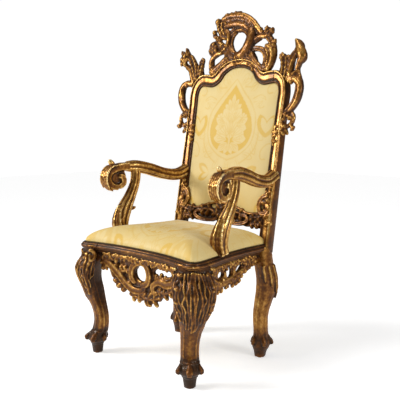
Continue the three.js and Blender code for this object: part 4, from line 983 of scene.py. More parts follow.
gilt_posts = gilding("Gilding of the posts, worn, with painted shade", 0.06, foot=True)
for name, side in SIDES:
    foot = (0.245, 0.110)
    skin = leg_place(rear_leg_rows, foot, side, 1, 1.6)
    leg_strokes = []
    for turn, start, end in ((0.8, 36, 8), (-0.8, 36, 8), (2.3, 36, 8), (-2.3, 36, 8)):
        leg_strokes.append(ridge(skin, np.linspace(start, end, 12), turn, -0.0020,
                                 [0.0040, 0.0044, 0.0038], 0.8))
    for turn, end in ((0, 25), (0.5, 28), (-0.5, 28), (1.1, 31), (-1.1, 31), (1.8, 33)):
        leg_strokes.append(ridge(
            skin, np.linspace(40, end, 7), turn, [0, 0, 0.001, 0.001, 0.002, 0.004, 0.008],
            [0.006, 0.0065, 0.006, 0.003], 1.0))
    for turn in (0.0, 1.3, -1.3, 2.6, -2.6):
        leg_strokes.append(ridge(
            skin, [9.8, 8.8, 7.8, 6.8, 5.6], turn, [-0.003, -0.002, 0.000, 0.002, 0.002],
            [0.005, 0.008, 0.0110, 0.0120, 0.0110], 0.8))
        leg_strokes.append(ridge(skin, [6.8, 5.9, 5.0], turn, [0.005, 0.007, 0.005], [0.0095], 0.6))
    if side < 0:
        reach, drop, shoulder = 1.0, 0.6, (flower_strokes, flower_smooth, flower_plumes, flower_blooms)
    else:
        reach, drop, shoulder = 0.86, 1.2, (horn_strokes, horn_smooth, horn_plumes, horn_blooms)
    strokes, smooth_strokes, plumes, blooms = shoulder

    def beside(x, up, front, side=side):
        return on_back(side * (stile_x + x), up, front)

    def bracket_spot(points, reach=reach):
        return crest_spot(points, reach)

    def shoulder_spot(points, reach=reach, drop=drop):
        return crest_spot(points, 0.5 + 0.5 * reach, drop)

    petals = flowers(blooms, shoulder_spot)
    if side < 0:
        petals.append(knob(shoulder_spot(blooms[0][0]), 0.013))
    carving = [
        leg_body(rear_leg_rows, foot, side, 1, 1.6, 0.474), sweep(leg_strokes, ROUND),
        scrolls(beside, bracket_strokes, 0.001, 0.85, SCROLL, bracket_spot, crest_unit),
        scrolls(beside, strokes, 0.001, 0.85, SCROLL, shoulder_spot, crest_unit),
        scrolls(beside, smooth_strokes, 0.0085, 0.75, ROUND, shoulder_spot, crest_unit),
        scrolls(beside, plumes, 0.0080, 0.95, KEEL, shoulder_spot, crest_unit, 0.24, 0.019),
        foliage(beside, shoulder_leaves, 0.0085, 0.9, shoulder_spot, crest_unit),
        scrolls(beside, petals, 0.011, 0.9, ROUND),
        scrolls(beside, [foot_scroll], 0.014, 0.8, SCROLL, stile_spot, crest_unit),
        foliage(beside, stile_leaves, 0.012, 0.7, stile_spot, crest_unit)]
    span = (side_rear_t + 0.004, rear_t - 0.004)
    span = span if side > 0 else other_side(*span)
    mouldings = [frame_band(lambda x, up: (side * x > 0.2052) & (up > -0.045)), rail_band(*span)]

    def post_front(p, side=side, foot=foot):
        return np.where(p[:, 2:] > SEAT + 0.02, to_front(p), (p - (side * foot[0], foot[1], 0)) * (1, 1, 0))

    carved("rear_post_" + name, gilt_posts, carving, mouldings, 0.0027, post_front, cuts=0.0008)

# Crest: the carver's showpiece, a pierced shell round an oval opening, between leafy scrolls and flowers.
# It is carved from one board with the arched rail that it stands on, which is let into the two posts.
crest_strokes = [
    ([[-2, 9.4], [-5.4, 11.4], [-6.9, 15], [-6, 19], [-3, 21.2]], [1.7, 1.5, 1.4, 1.6, 1.8]),
    ([[-3.4, 9.4], [1, 9.4], [4.6, 11.6], [5.9, 15.4], [4.6, 19], [1, 21.2], [-4, 21.4]],
     [1.6, 1.8, 2, 2.1, 2, 1.9, 1.9]),
    ([[-13.2, 25.6], [-8.6, 26.9], [-3, 27], [2, 25.2], [6.2, 22.2], [9.4, 19], [12, 17]],
     [1.4, 1.7, 1.7, 1.6, 1.5, 1.4, 1.3]),
    ([[-12.6, 23.4], [-8, 23.9], [-2, 24], [4.4, 21.6], [8, 16]], [1.6, 2.3, 2.5, 2.2, 1.6]),
    ([[-14.4, 25.6], [-13.2, 21.8], [-11, 19.2], [-8, 17.4]], [1.9, 1.8, 1.9, 1.5]),
    ([[-9.4, 26.2], [-10.6, 28.2], [-11.2, 28.8]], [1.1, 0.7, 0.3]),
    ([[-4.8, 26.8], [-2.8, 28.2], [-1.4, 28.9]], [1.4, 1.1, 0.4]),
    ([[-8.4, 12], [-6, 8.2], [-2, 6.6], [2.4, 6.8], [6, 9]], [1.3, 1.9, 2.1, 2, 1.7]),
    ([[5.4, 10.4], [8.2, 7.8], [10.4, 4.6], [13.4, 2], [16.4, 0.8]], [1.9, 1.8, 1.6, 1.6, 1.5]),
    ([[-5.6, 9.6], [-8.2, 7], [-10.6, 5.4], [-13.6, 3.4], [-15.8, 0.6]], [1.7, 1.5, 1.6, 1.7, 1.5]),
    ([[-15.6, 1.6], [-15.8, 5], [-16, 8.6], [-13, 10.6], [-10, 11.4], [-7.6, 12.4]],
     [1.4, 1.4, 1.3, 1.3, 1.2, 1.1]),
    ([[-18, 12.6], [-16.6, 14.6], [-13.8, 14.6], [-11.6, 12.2]], [1.1, 1.8, 1.7, 1.2]),
    ([[-17.8, 14], [-17.4, 11.6], [-15.6, 10.2]], [1.3, 1.3, 1.2]),
    ([[-9.4, 12.4], [-12, 15.4], [-14, 17.4], [-15.6, 18.6]], [1.2, 1.2, 1.2, 1.2]),
    ([[-15.2, 18], [-16.4, 19.6], [-15.8, 20.8]], [1.2, 1.2, 0.8]),
    ([[16.4, 1], [18.6, 3.8], [19.6, 7.6], [18.9, 11.4], [17.2, 14.4], [14.8, 16.8]],
     [1.6, 1.5, 1.6, 1.6, 1.6, 1.6]),
    ([[12, 17], [14.4, 17], [15.6, 18.6], [14.8, 20.2]], [1.4, 1.6, 1.4, 0.8]),
    ([[15.6, 17], [17.2, 18.4], [17.6, 20]], [1.4, 1.1, 0.5]),
    ([[17.4, 13.8], [19, 14.2], [20.2, 14.6]], [1.2, 0.8, 0.4]),
    ([[6, 13.4], [12, 16.6]], [1.2, 1.3]),
    ([[7, 11.4], [10.6, 11.4], [13.6, 10.2], [15.2, 7.4], [15.2, 4], [16.2, 1.4]],
     [1.3, 1.3, 1.3, 1.2, 1.2, 1.4]),
    ([[-1.6, 9.0], [-4.2, 11.6], [-5.5, 15], [-4.8, 18.4], [-2.6, 20.2]], [1.2, 1.2, 1.1, 1.1, 1.1]),
    ([[-1.6, 9.0], [1.4, 10.9], [3.5, 13.4], [4.5, 16.2], [3.2, 18.9], [0.4, 20.4], [-2.6, 20.3]],
     [1.2, 1.2, 1.2, 1.2, 1.2, 1.2, 1.1])]
crest_smooth = [
    ([[5.0, 21.4], [6.3, 17.6], [5.7, 13.8], [3.6, 10.8], [0.6, 9.0], [-2.6, 8.8]],
     [1.3, 2.4, 2.7, 2.4, 2.0, 1.2]),
    ([[-12.8, 25.9], [-8.6, 27.2], [-3, 27.2], [2, 26.0], [6.4, 23.4], [9.8, 20.2], [12.6, 17.2]],
     [1.0, 1.35, 1.4, 1.4, 1.4, 1.3, 1.0]),
    ([[-10.8, 22.8], [-6.8, 23.4], [-2, 23.4], [2.4, 21.8], [4.8, 19.2]], [1.0, 1.5, 1.6, 1.4, 0.8]),
    ([[16.8, 1.2], [18.8, 4.4], [19.2, 8.2], [17.6, 11.4], [14.6, 12.6]], [1.1, 1.3, 1.3, 1.2, 0.8]),
    ([[6.6, 9.6], [9.2, 6.6], [12.6, 3.6], [16.2, 1.4]], [1.3, 1.5, 1.4, 1.0]),
    ([[-6.4, 8.8], [-9.4, 6.0], [-12.8, 3.6], [-15.6, 1.2]], [1.2, 1.4, 1.4, 1.0]),
    ([[-15.8, 3.4], [-16.2, 7.4], [-13.6, 10.2], [-10.2, 10.6]], [0.9, 1.1, 1.1, 0.8]),
    ([[-7.6, 13.2], [-6.9, 16.4], [-7.4, 19.4], [-10.4, 21.4]], [1.1, 1.3, 1.3, 0.9]),
    ([[8.2, 15.2], [11.4, 16.6], [14.2, 16.4], [15.2, 18.2]], [1.0, 1.2, 1.2, 0.9])]
crest_plumes = [
    ([[-14.0, 25.6], [-13.4, 22.0], [-11.2, 18.8]], [1.1, 1.5, 1.0]),
    ([[-11.8, 25.2], [-11.4, 22.0], [-9.2, 18.4]], [1.1, 1.4, 1.0]),
    ([[-3.4, 21.6], [-2.6, 24.4], [-0.8, 26.4]], [0.8, 0.9, 0.8]),
    ([[-6.6, 21.8], [-6.4, 24.6], [-5.2, 26.8]], [0.8, 0.9, 0.8]),
    ([[-9.4, 21.6], [-9.6, 24.4], [-9.2, 26.6]], [0.8, 0.9, 0.8]),
    ([[0.2, 21.0], [1.8, 23.6], [3.6, 25.2]], [0.8, 0.9, 0.8]),
    ([[3.2, 19.8], [5.0, 21.8], [7.0, 22.8]], [0.7, 0.8, 0.7]),
    ([[16.4, 1.0], [17.4, 5.4], [16.6, 9.4], [14.6, 11.6]], [0.9, 1.0, 0.9, 0.6]),
    ([[5.8, 8.0], [8.8, 5.0], [12.4, 2.2]], [0.8, 1.0, 0.8]),
    ([[-5.8, 7.4], [-9.0, 4.6], [-12.6, 2.2]], [0.8, 1.0, 0.8])]
crest_leaves = [
    ([[-8.4, 25.0], [-9.8, 26.8], [-11.0, 28.4]], 1.0, 2),
    ([[-6.2, 26.4], [-4.4, 27.8], [-2.6, 28.8]], 0.9, 2),
    ([[-11.6, 27.4], [-7.6, 28.0], [-4.8, 27.6]], 0.7, 4),
    ([[8.6, 21.6], [11.4, 18.8], [13.0, 17.0]], 0.8, 3),
    ([[12.6, 0.8], [16.0, 3.0], [18.4, 5.2]], 1.3, 3),
    ([[-12.6, 0.8], [-15.2, 3.0], [-16.6, 5.6]], 1.2, 3),
    ([[2.0, 7.6], [5.4, 9.4], [8.2, 13.4]], 1.0, 3),
    ([[-11.0, 11.2], [-8.4, 12.6], [-7.8, 15.6]], 1.0, 3),
    ([[-4.4, 8.2], [-8, 5.0], [-12.2, 2.6]], 1.6, 3), ([[3.6, 8.2], [7.4, 4.8], [11.8, 2.2]], 1.6, 3),
    ([[17.2, 9.4], [18.6, 12.4], [20.4, 14.8]], 1.2, 3),
    ([[14.2, 15.4], [14.8, 17.6], [15.2, 20.4]], 1.2, 2),
    ([[15.8, 15.6], [17, 17.6], [17.8, 20]], 1.0, 2), ([[-10.2, 14], [-12.6, 16.0], [-15, 18]], 1.1, 3),
    ([[0, 4.8], [-0.6, 6.6], [-1.0, 8.4]], 1.8, 2)]
crest_flowers = [([-15.4, 13.0], 0.032, 6, 0.3), ([14.6, 19.4], 0.016, 5, 0.0)]
crest_knobs = [
    ([-15.4, 13.0], 0.011), ([-15.9, 20.4], 0.0115), ([-14.2, 25.0], 0.017), ([-1.0, 8.0], 0.012),
    ([14.7, 19.4], 0.008)]
crown_foot, crown_aside = 0.706, -0.013


def crown_spot(points):
    return np.asarray(points, float) * crest_unit + (crown_aside, crown_foot)


gilt_crest = gilding("Gilding of the crest, worn, with painted shade", 0.0)
blooms = flowers(crest_flowers, crown_spot) + [knob(crown_spot(spot), size) for spot, size in crest_knobs]
carving = [
    scrolls(on_back, crest_strokes, 0.002, 0.80, SCROLL, crown_spot, crest_unit),
    scrolls(on_back, crest_smooth, 0.010, 0.62, ROUND, crown_spot, crest_unit),
    scrolls(on_back, crest_plumes, 0.0115, 0.8, KEEL, crown_spot, crest_unit, 0.22, 0.018),
    foliage(on_back, crest_leaves, 0.0080, 0.9, crown_spot, crest_unit),
    scrolls(on_back, blooms, 0.012, 0.9, ROUND)]
carved("crest_rail", gilt_crest, carving, [frame_band(lambda x, up: (abs(x) < 0.205) & (up > 0.3))],
       front=to_front, cuts=0.0009)

# Lower rail of the back: a bar of the same wood between the stiles, above the seat, that carries the panel.
# Its top edge rises to a leaf in the middle, its lower edge is scalloped, and its face has two leafy scrolls.
lower_half, lower_foot, lower_high = stile_x, 0.058, 0.080
scallops = 7
edge = []
for i in range(3 * scallops + 1):
    x = -lower_half + 2 * lower_half * i / (3 * scallops)
    edge.append([x, lower_foot + 0.1 * lower_high - 0.12 * lower_high * abs(math.sin(i * math.pi / 3))])
top = [[1, 0.25], [0.86, 0.02], [0.6, -0.08], [0.36, 0.14], [0.16, 0.3], [0, 0.34]]
top += [[-x, h] for x, h in top[-2::-1]]
edge += [[x * lower_half, lower_foot + 0.8 * lower_high + h * lower_high] for x, h in top]


def lower_spot(points):
    return np.array(points) * (lower_half, lower_high) + (0, lower_foot)


def both_ways(line):
    """A line drawn to the right of the middle, and its mirror image."""
    return [[[side * x, h] for x, h in line] for side in (1, -1)]


lower_leaves = []
for line, reach in (([[0.08, 0.34], [0.22, 0.62], [0.40, 0.66], [0.56, 0.44]], 0.022),
                    ([[0.98, 0.70], [0.88, 0.60], [0.76, 0.52], [0.64, 0.56]], 0.020)):
    lower_leaves += [(drawn, reach, 3) for drawn in both_ways(line)]
lower_leaves.append(([[0, 0.20], [0, 0.56], [0, 1.08]], 0.030, 3))
lower_leaves += [(drawn, 0.013, 3) for drawn in both_ways([[0.66, 0.12], [0.80, 0.20], [0.94, 0.16]])]
lower_edge = [[-0.98, 0.94], [-0.86, 0.78], [-0.6, 0.70], [-0.36, 0.92], [-0.16, 1.06], [0, 1.10],
              [0.16, 1.06], [0.36, 0.92], [0.6, 0.70], [0.86, 0.78], [0.98, 0.94]]
lower_curls = both_ways([
    [0.06, 0.22], [0.26, 0.08], [0.50, 0.12], [0.62, 0.34], [0.54, 0.56], [0.42, 0.46], [0.46, 0.32]])
curl_girth = np.array([0.9, 1.2, 1.4, 1.3, 1.1, 0.9, 0.7]) * 0.0068
carving = [
    pierced(edge, [], -0.0165, 0.006, on_back),
    foliage(on_back, lower_leaves, 0.009, 0.9, lower_spot),
    scrolls(on_back, [(lower_edge, [0.0062])], 0.011, 0.9, ROUND, lower_spot),
    scrolls(on_back, [(line, curl_girth) for line in lower_curls], 0.011, 0.9, SCROLL, lower_spot)]
carved("lower_back_rail", gilt_rails, carving, front=to_front, tone=lambda p: -0.2)

# Arms: each a reeded bar of the same wood, tenoned into the post, that dips and rises to a curled volute
# with a leaf on its breast. They are handled most, so the gold there is rubbed bright.
arm_up, arm_along, volute_r = 0.0100, 0.0100, 0.058
arm_root, arm_root_out, volute_out = 0.170, 0.259, 0.317
volute_y, volute_z = -0.204, SEAT + 25.6 * arm_up


def arm_x(y):
    """How far out an arm's middle line stands at y."""
    share = np.clip((arm_root - y) / (arm_root - volute_y), 0, 1.1)
    return arm_root_out + (volute_out - arm_root_out) * share ** 1.15


def on_arm(side):
    return lambda y, z, out: spots_at(side * (arm_x(y) + out), y, z)


def squared(values):
    """The cosines or sines of a section's turn, drawn out towards its corners."""
    return np.sign(values) * np.abs(values) ** 0.85


REED_TURN = np.linspace(0, 2 * math.pi, 96, endpoint=False)
REED_REACH = 1 - 0.23 * (1 - np.abs(np.sin(4 * REED_TURN + 0.35))) ** 2
REEDED = section("reeded section", np.column_stack([
    squared(np.cos(REED_TURN)) * REED_REACH, squared(np.sin(REED_TURN)) * REED_REACH]))
VOLUTE = section("volute section", ring(40, lambda c, s: (
    np.maximum(np.abs(c), 0.02) ** -0.25 * (1 - 0.10 * (1 - np.abs(s)) ** 2), np.maximum(
        np.abs(s), 0.02) ** -0.25 * (0.74 + 0.28 * np.minimum(1, np.abs(c) / 0.75) ** 3))))
arm_line = np.array([[17.4, 28], [11.5, 25.8], [4, 26.5], [-4, 28.9], [-10, 30.2], [-14.6, 30.3]]) * (
    arm_along, arm_up) + (0, SEAT)
curl_line = [
    [1.2, 0.78], [0.55, 0.82], [0.02, 0.72], [-0.52, 0.46], [-0.72, -0.06], [-0.42, -0.58], [0.12, -0.72]]
eye_line = [[0.06, -0.74], [0.5, -0.42], [0.44, 0.04], [0.08, 0.16]]
tip_line = [[-0.1, 0.86], [-0.34, 1.18], [-0.5, 1.38]]


def roll(points):
    return np.asarray(points, float) * volute_r + (volute_y, volute_z)


gilt_arms = gilding("Gilding of the arms, worn, with painted shade", 0.42)
arm_half, web_share = 0.027, 0.8
for name, side in SIDES:
    place = on_arm(side)
    body = stroke(place, arm_line, np.array([1.02, 1, 1, 1.04, 1.02, 0.88]) * arm_half, 0, 0.025 / arm_half,
                  blunt=True)
    curl = stroke(place, roll([[2.2, 0.80]] + curl_line),
                  np.array([0.86, 0.78, 0.68, 0.62, 0.58, 0.56, 0.54, 0.5]) * arm_half, 0,
                  [1.08, 1.15, 1.45, 1.65, 1.75, 1.8, 1.9, 2.0], blunt=True)
    eye = stroke(place, roll(eye_line), np.array([0.5, 0.5, 0.48, 0.4]) * arm_half, 0, [2.1, 2.3, 2.5, 2.9])
    tip = stroke(place, roll(tip_line), [0.012, 0.011, 0.006], 0, 1)
    web = oval(volute_y, volute_z, web_share * volute_r, web_share * volute_r, 20)
    breast = []
    for out, start, end, size in ((0, 60, 262, 1.0), (0.011, 70, 250, 0.9), (-0.011, 70, 250, 0.9),
                                  (0.022, 88, 232, 0.8), (-0.022, 88, 232, 0.8)):
        angle = np.radians(np.linspace(start, end, 9))
        far = volute_r * np.array([0.92, 0.96, 0.95, 0.94, 0.94, 0.95, 0.97, 0.99, 1.04])
        spots = place(volute_y + far * np.cos(angle), volute_z + far * np.sin(angle), out)
        ways = np.column_stack([np.full(9, side * out * 18), np.cos(angle), np.sin(angle)])
        breast.append(strand(spots, ways, np.array([0.5, 0.9, 1, 1, 1, 0.8, 0.4]) * 0.0068 * size,
                             0.8, 0.2, 0.017))
    carving = [sweep([body], REEDED), sweep([curl, eye], VOLUTE), pierced(web, [], -0.012, 0.012, place),
               sweep([tip], ROUND), sweep(breast, LEAF)]
    carved("arm_" + name, gilt_arms, carving)

# Arm supports: each a scrolled shank of the same wood, reeded like the arm and dowelled under it. It stands
# on the side rail, stepped back from the front, with a leaf where it springs and a small spur behind.
support_line = np.array([
    [-10.8, 29.2], [-10.6, 26.6], [-11.4, 22.4], [-13.8, 17.2], [-16.9, 12], [-18.9, 7],
    [-18.7, 2.8], [-18, 0]]) * (arm_along, arm_up) + (0, SEAT)
support_half, support_high = 0.028, 0.301
spur_line = np.array([[-0.160, 0.118], [-0.142, 0.122], [-0.124, 0.120], [-0.108, 0.124]]) + (0, SEAT)
root_line = np.array([[-0.207, 0.004], [-0.222, 0.035], [-0.224, 0.075], [-0.212, 0.112], [-0.200, 0.140]])
for name, side in SIDES:
    base = float(edge_x(-0.180)) - 0.007

    def place(y, z, out, side=side, base=base):
        share = np.clip((z - SEAT) / support_high, 0, 1)
        return spots_at(side * (base + (arm_x(y) - 0.004 - base) * share + out), y, z)

    body = stroke(place, support_line,
                  np.array([0.72, 0.74, 0.76, 0.88, 1.1, 1.16, 1.04, 1.1]) * support_half, 0, 0.9, blunt=True)
    spur = stroke(place, spur_line, [0.014, 0.013, 0.009, 0.003], 0, 1)
    roots = []
    for out in (-0.022, -0.011, 0.0, 0.011, 0.022):
        spots = place(root_line[:, 0], SEAT + root_line[:, 1], np.full(5, out) * (1, 1.1, 1, 0.8, 0.5))
        spots[:, 1] += abs(out) * 0.5
        roots.append(strand(spots, np.tile([side * out * 30, -1, 0.1], (5, 1)),
                            [0.008, 0.0095, 0.008, 0.006, 0.003], 0.9, 0.12, 0.022))
    carving = [sweep([body], REEDED), sweep([spur], ROUND), sweep(roots, LEAF)]
    carved("arm_support_" + name, gilt_arms, carving)

# Upholstery: silk damask with pale figures on a golden ground, drawn tight over a padded back panel and a
# domed seat. The cloth goes round each pad and is tacked out of sight inside the frame.
EDGE_SOFT = 0.0016


def petal(u, v, spot, angle, length, width):
    """1 inside a petal drawn on the cloth from a spot, at an angle in degrees, with a soft edge."""
    c, s = math.cos(math.radians(angle)), math.sin(math.radians(angle))
    a = ((u - spot[0]) * c + (v - spot[1]) * s) / length
    b = (v - spot[1]) * c - (u - spot[0]) * s
    half = width * np.sin(math.pi * np.clip(a, 0, 1) ** 1.15) ** 0.7
    return np.clip((half - np.abs(b)) / EDGE_SOFT + 0.5, 0, 1) * (a > 0) * (a < 1)


def band(u, v, points, width):
    """1 on a curved line drawn on the cloth."""
    row = smooth(points, 8 * len(points))
    away = np.full(u.shape, 1.0)
    for (x0, y0), (x1, y1) in zip(row[:-1], row[1:]):
        dx, dy = x1 - x0, y1 - y0
        t = np.clip(((u - x0) * dx + (v - y0) * dy) / (dx * dx + dy * dy + 1e-12), 0, 1)
        away = np.minimum(away, np.hypot(u - x0 - t * dx, v - y0 - t * dy))
    return np.clip((width - away) / EDGE_SOFT + 0.5, 0, 1)


OGEE = smooth([
    [-0.150, 0.0], [-0.138, 0.045], [-0.105, 0.098], [-0.05, 0.122], [0.01, 0.112], [0.06, 0.082],
    [0.10, 0.050], [0.135, 0.020], [0.160, 0.0]], 90)
CLOTH_REPEAT = 0.62


def petals_of(u, v, drawn):
    """1 inside any of several petals."""
    found = np.zeros_like(u)
    for spot, angle, length, width in drawn:
        found = np.maximum(found, petal(u, v, spot, angle, length, width))
    return found


def figure_of(u, v):
    """The damask figure at a place of the cloth, 1 on the cream figure and 0 on the golden ground."""
    v = (v + CLOTH_REPEAT / 2) % CLOTH_REPEAT - CLOTH_REPEAT / 2
    w = np.abs(u)
    half = np.interp(v, OGEE[:, 0], OGEE[:, 1], left=-1, right=-1)
    inside = np.clip((half - w) / EDGE_SOFT + 0.5, 0, 1)
    bouquet, veins = np.zeros_like(u), np.zeros_like(u)
    for spot, angle, length, width in (
            ((0, 0.052), 90, 0.066, 0.012), ((0.004, 0.050), 62, 0.052, 0.011),
            ((0.010, 0.044), 38, 0.046, 0.012), ((0.012, -0.005), 56, 0.070, 0.020),
            ((0.030, -0.012), 22, 0.066, 0.021), ((0.034, -0.02), -14, 0.058, 0.018),
            ((0.004, -0.06), 66, 0.085, 0.018), ((0.012, -0.070), 34, 0.082, 0.021),
            ((0.016, -0.082), 4, 0.078, 0.021), ((0.010, -0.096), -34, 0.062, 0.018),
            ((0.002, -0.100), -66, 0.048, 0.013),
            ((0, -0.135), 90, 0.17, 0.007), ((0.0, -0.02), 90, 0.09, 0.014)):
        bouquet = np.maximum(bouquet, petal(w, v, spot, angle, length, width))
        for lean in (-16, 0, 16):
            veins = np.maximum(veins, petal(w, v, spot, angle + lean, 0.78 * length, 0.0017))
    for x, y, size in ((0.0, 0.030, 0.030), (0.066, 0.012, 0.024), (0.0, -0.052, 0.026),
                       (0.060, -0.062, 0.024)):
        for k in range(7):
            turn = 360 * k / 7 + 90
            bouquet = np.maximum(bouquet, petal(w, v, (x, y), turn, size, 0.40 * size))
            veins = np.maximum(veins, petal(w, v, (x, y), turn + 26, size, 0.0016))
    field = np.zeros_like(u)
    for points in (
            [[0.0, 0.186], [0.020, 0.165], [0.052, 0.128], [0.094, 0.086], [0.130, 0.030], [0.137, -0.04],
             [0.120, -0.10], [0.060, -0.150], [0.0, -0.172]],
            [[0.055, 0.150], [0.095, 0.150], [0.120, 0.172], [0.108, 0.200], [0.082, 0.196],
             [0.082, 0.176]],
            [[0.110, 0.098], [0.150, 0.112], [0.176, 0.092], [0.172, 0.062], [0.150, 0.056],
             [0.144, 0.074]],
            [[0.236, 0.150], [0.200, 0.160], [0.178, 0.140], [0.186, 0.118], [0.206, 0.120]],
            [[0.148, 0.0], [0.158, -0.05], [0.150, -0.11], [0.112, -0.158], [0.070, -0.186]],
            [[0.236, -0.09], [0.204, -0.10], [0.180, -0.13], [0.186, -0.160], [0.206, -0.160]],
            [[0.0, -0.205], [0.032, -0.216], [0.062, -0.246], [0.056, -0.276], [0.030, -0.280],
             [0.026, -0.258]]):
        field = np.maximum(field, band(w, v, points, 0.0026))
    for spot, angle, length, width in (
            ((0.030, 0.160), 20, 0.060, 0.014), ((0.030, 0.160), 58, 0.060, 0.014),
            ((0.085, 0.125), 52, 0.060, 0.015), ((0.108, 0.080), 12, 0.060, 0.015),
            ((0.125, 0.050), 44, 0.050, 0.012), ((0.132, -0.01), 20, 0.060, 0.015),
            ((0.136, -0.050), -30, 0.060, 0.015), ((0.124, -0.09), -64, 0.060, 0.015),
            ((0.085, -0.14), -20, 0.060, 0.014), ((0.050, -0.165), -60, 0.060, 0.014),
            ((0.010, -0.180), -90, 0.050, 0.013), ((0.0, 0.195), 90, 0.06, 0.016),
            ((0.0, 0.195), 50, 0.05, 0.013), ((0.17, 0.145), 110, 0.06, 0.014),
            ((0.215, 0.09), 60, 0.06, 0.014)):
        field = np.maximum(field, petal(w, v, spot, angle, length, width) - petal(
            w, v, spot, angle, 0.93 * length, width - 0.0022))
        field = np.maximum(field, petal(w, v, spot, angle, 0.7 * length, 0.0014))
    heart = petals_of(w, v, (
        ((0.196, -0.070), 112, 0.105, 0.026), ((0.196, -0.070), 68, 0.105, 0.026),
        ((0.20, 0.205), 90, 0.07, 0.02), ((0.10, -0.235), 30, 0.08, 0.02),
        ((0.10, -0.235), -25, 0.07, 0.018)))
    seed = petals_of(w, v, (
        ((0.196, -0.050), 112, 0.070, 0.014), ((0.196, -0.050), 68, 0.070, 0.014),
        ((0.196, 0.052), 90, 0.05, 0.012), ((0.192, 0.055), 128, 0.046, 0.011),
        ((0.200, 0.055), 52, 0.046, 0.011), ((0.20, 0.215), 90, 0.045, 0.009),
        ((0.10, -0.235), 30, 0.058, 0.010), ((0.10, -0.235), -25, 0.05, 0.009)))
    outside = np.maximum(0.55 * field, 0.9 * heart) * (1 - inside)
    ground = np.maximum(inside * (1 - bouquet * (1 - 0.6 * veins)), outside)
    return 1 - ground * (1 - seed * (1 - inside))


gold_ground, cream_figure, unseen_figure = (0.67, 0.43, 0.078, 1), (0.70, 0.54, 0.225, 1), 0.7
damask = bpy.data.materials.new("Damask")
damask.use_nodes = True
tree = damask.node_tree
mark = add_node(tree, "ShaderNodeAttribute", attribute_name="figure").outputs["Fac"]
aged = noise(tree, 7.0, 4.0, 0.6)
figure = maths(tree, "MULTIPLY_ADD", maths(tree, "SUBTRACT", aged, 0.5), 0.7, mark, clamp=True)
threads = tree.nodes.new("ShaderNodeUVMap")
weave = []
for turn in (0.0, math.pi / 2):
    spun = add_node(tree, "ShaderNodeVectorRotate", Vector=threads.outputs[0], Angle=turn)
    weave.append(add_node(tree, "ShaderNodeTexWave", Vector=spun.outputs[0], Scale=260.0, Distortion=0.6,
                          Detail=1.0).outputs["Fac"])
cloth_height = maths(tree, "ADD", maths(tree, "MULTIPLY", maths(tree, "MAXIMUM", *weave), 0.35),
                     maths(tree, "MULTIPLY", mark, 0.5))
bump = add_node(tree, "ShaderNodeBump", Height=cloth_height, Strength=0.4, Distance=0.0008)
wire(tree, tree.nodes["Principled BSDF"], Base_Color=blended(tree, figure, gold_ground, cream_figure),
     Roughness=maths(tree, "MULTIPLY_ADD", mark, -0.14, 0.62), Normal=bump.outputs[0], IOR=1.4,
     Sheen_Weight=0.25, Sheen_Roughness=0.4)


def padded_form(outline, back, height, place, spacing):
    """A pad: rings of corners inside an outline, raised to a height and closed at the back. It gives the
    corners, the faces, the place on the cloth of each corner, and whether it is on the side that shows."""
    closed = np.vstack([outline, outline[:1]])
    along = arc(closed)
    count = int(along[-1] / spacing)
    t = np.linspace(0, along[-1], count, endpoint=False)
    rim = np.column_stack([np.interp(t, along, closed[:, k]) for k in (0, 1)])
    centre = rim.mean(axis=0)
    share = np.concatenate([[0, 0.985, 1], np.linspace(1, 0.02, max(20, int(0.22 / spacing))), [0]])
    cloth = centre + share[:, None, None] * (rim - centre)
    rise = height(cloth[..., 0], cloth[..., 1], share[:, None] + 0 * cloth[..., 0])
    rise[:3] = back
    corners = place(cloth[..., 0], cloth[..., 1], rise)
    index = np.arange(share.size * count).reshape(-1, count)
    index[0], index[-1] = index[0, 0], index[-1, 0]
    after = np.roll(index, -1, axis=1)
    faces = [np.stack(given, -1).reshape(-1, 3) for given in (
        (index[:-1], after[:-1], after[1:]), (index[:-1], after[1:], index[1:]))]
    faces = [given[(given[:, 0] != given[:, 1]) & (given[:, 1] != given[:, 2])] for given in faces]
    used, faces = np.unique(np.vstack(faces), return_inverse=True)
    shown = (used >= 3 * count) & (used < index[-1, 0])
    corners, faces = corners.reshape(-1, 3)[used], faces.reshape(-1, 3)
    return corners, outward(corners, faces), cloth.reshape(-1, 2)[used], shown


def upholstered(name, node, form, figure):
    """A padded piece covered in damask, whose figure is given for the side that shows."""
    corners, faces, cloth, shown = form
    pad = piece(name, [(corners, faces)], damask, node,
                {"figure": np.where(shown, figure(cloth[:, 0], cloth[:, 1]), unseen_figure)}, cloth)


def panel_figure(u, v):
    # The figure gives way to the golden ground towards the bottom of the panel, and in random patches.
    figure_loss = 0.5 * np.clip((0.30 - v) / 0.22, 0, 1) + 0.15 * lumps(np.column_stack([u, v, u]), 0.05, 4)
    return figure_of(u, v - 0.505) - figure_loss


def seat_figure(u, v):
    toning = 0.35 * np.clip(lumps(np.column_stack([u, v, u]), 0.06, 8) + 0.1, 0, 1)
    return np.minimum(figure_of(u, v + 0.12), 0.5 + 0.5 * figure_of(np.abs(u) - 0.235, v - 0.19)) - toning


inner = FRAME[:, :2] - sideways(FRAME[:, :2]) * (FRAME[:, 2:] + 0.0003)
inner = inner[inner[:, 1] > 0.082]
upholstered("back_panel_upholstery", "back_panel", padded_form(
    inner[::3], -0.016, lambda x, up, share: 0.017 - 0.0115 * share ** 3 - 0.001 * share ** 30,
    on_back, 0.0031), panel_figure)
seat_rim = np.minimum(PLAN, (np.inf, 0.120)) - sideways(PLAN, True) * 0.005


def on_seat(x, y, up):
    return spots_at(x, y, SEAT + up)


upholstered("seat_upholstery", "seat_pad", padded_form(
    seat_rim[::4], 0.0003, lambda x, y, share: 0.004 + 0.072 * (1 - share ** 3.2) ** 0.62, on_seat, 0.0033),
    seat_figure)

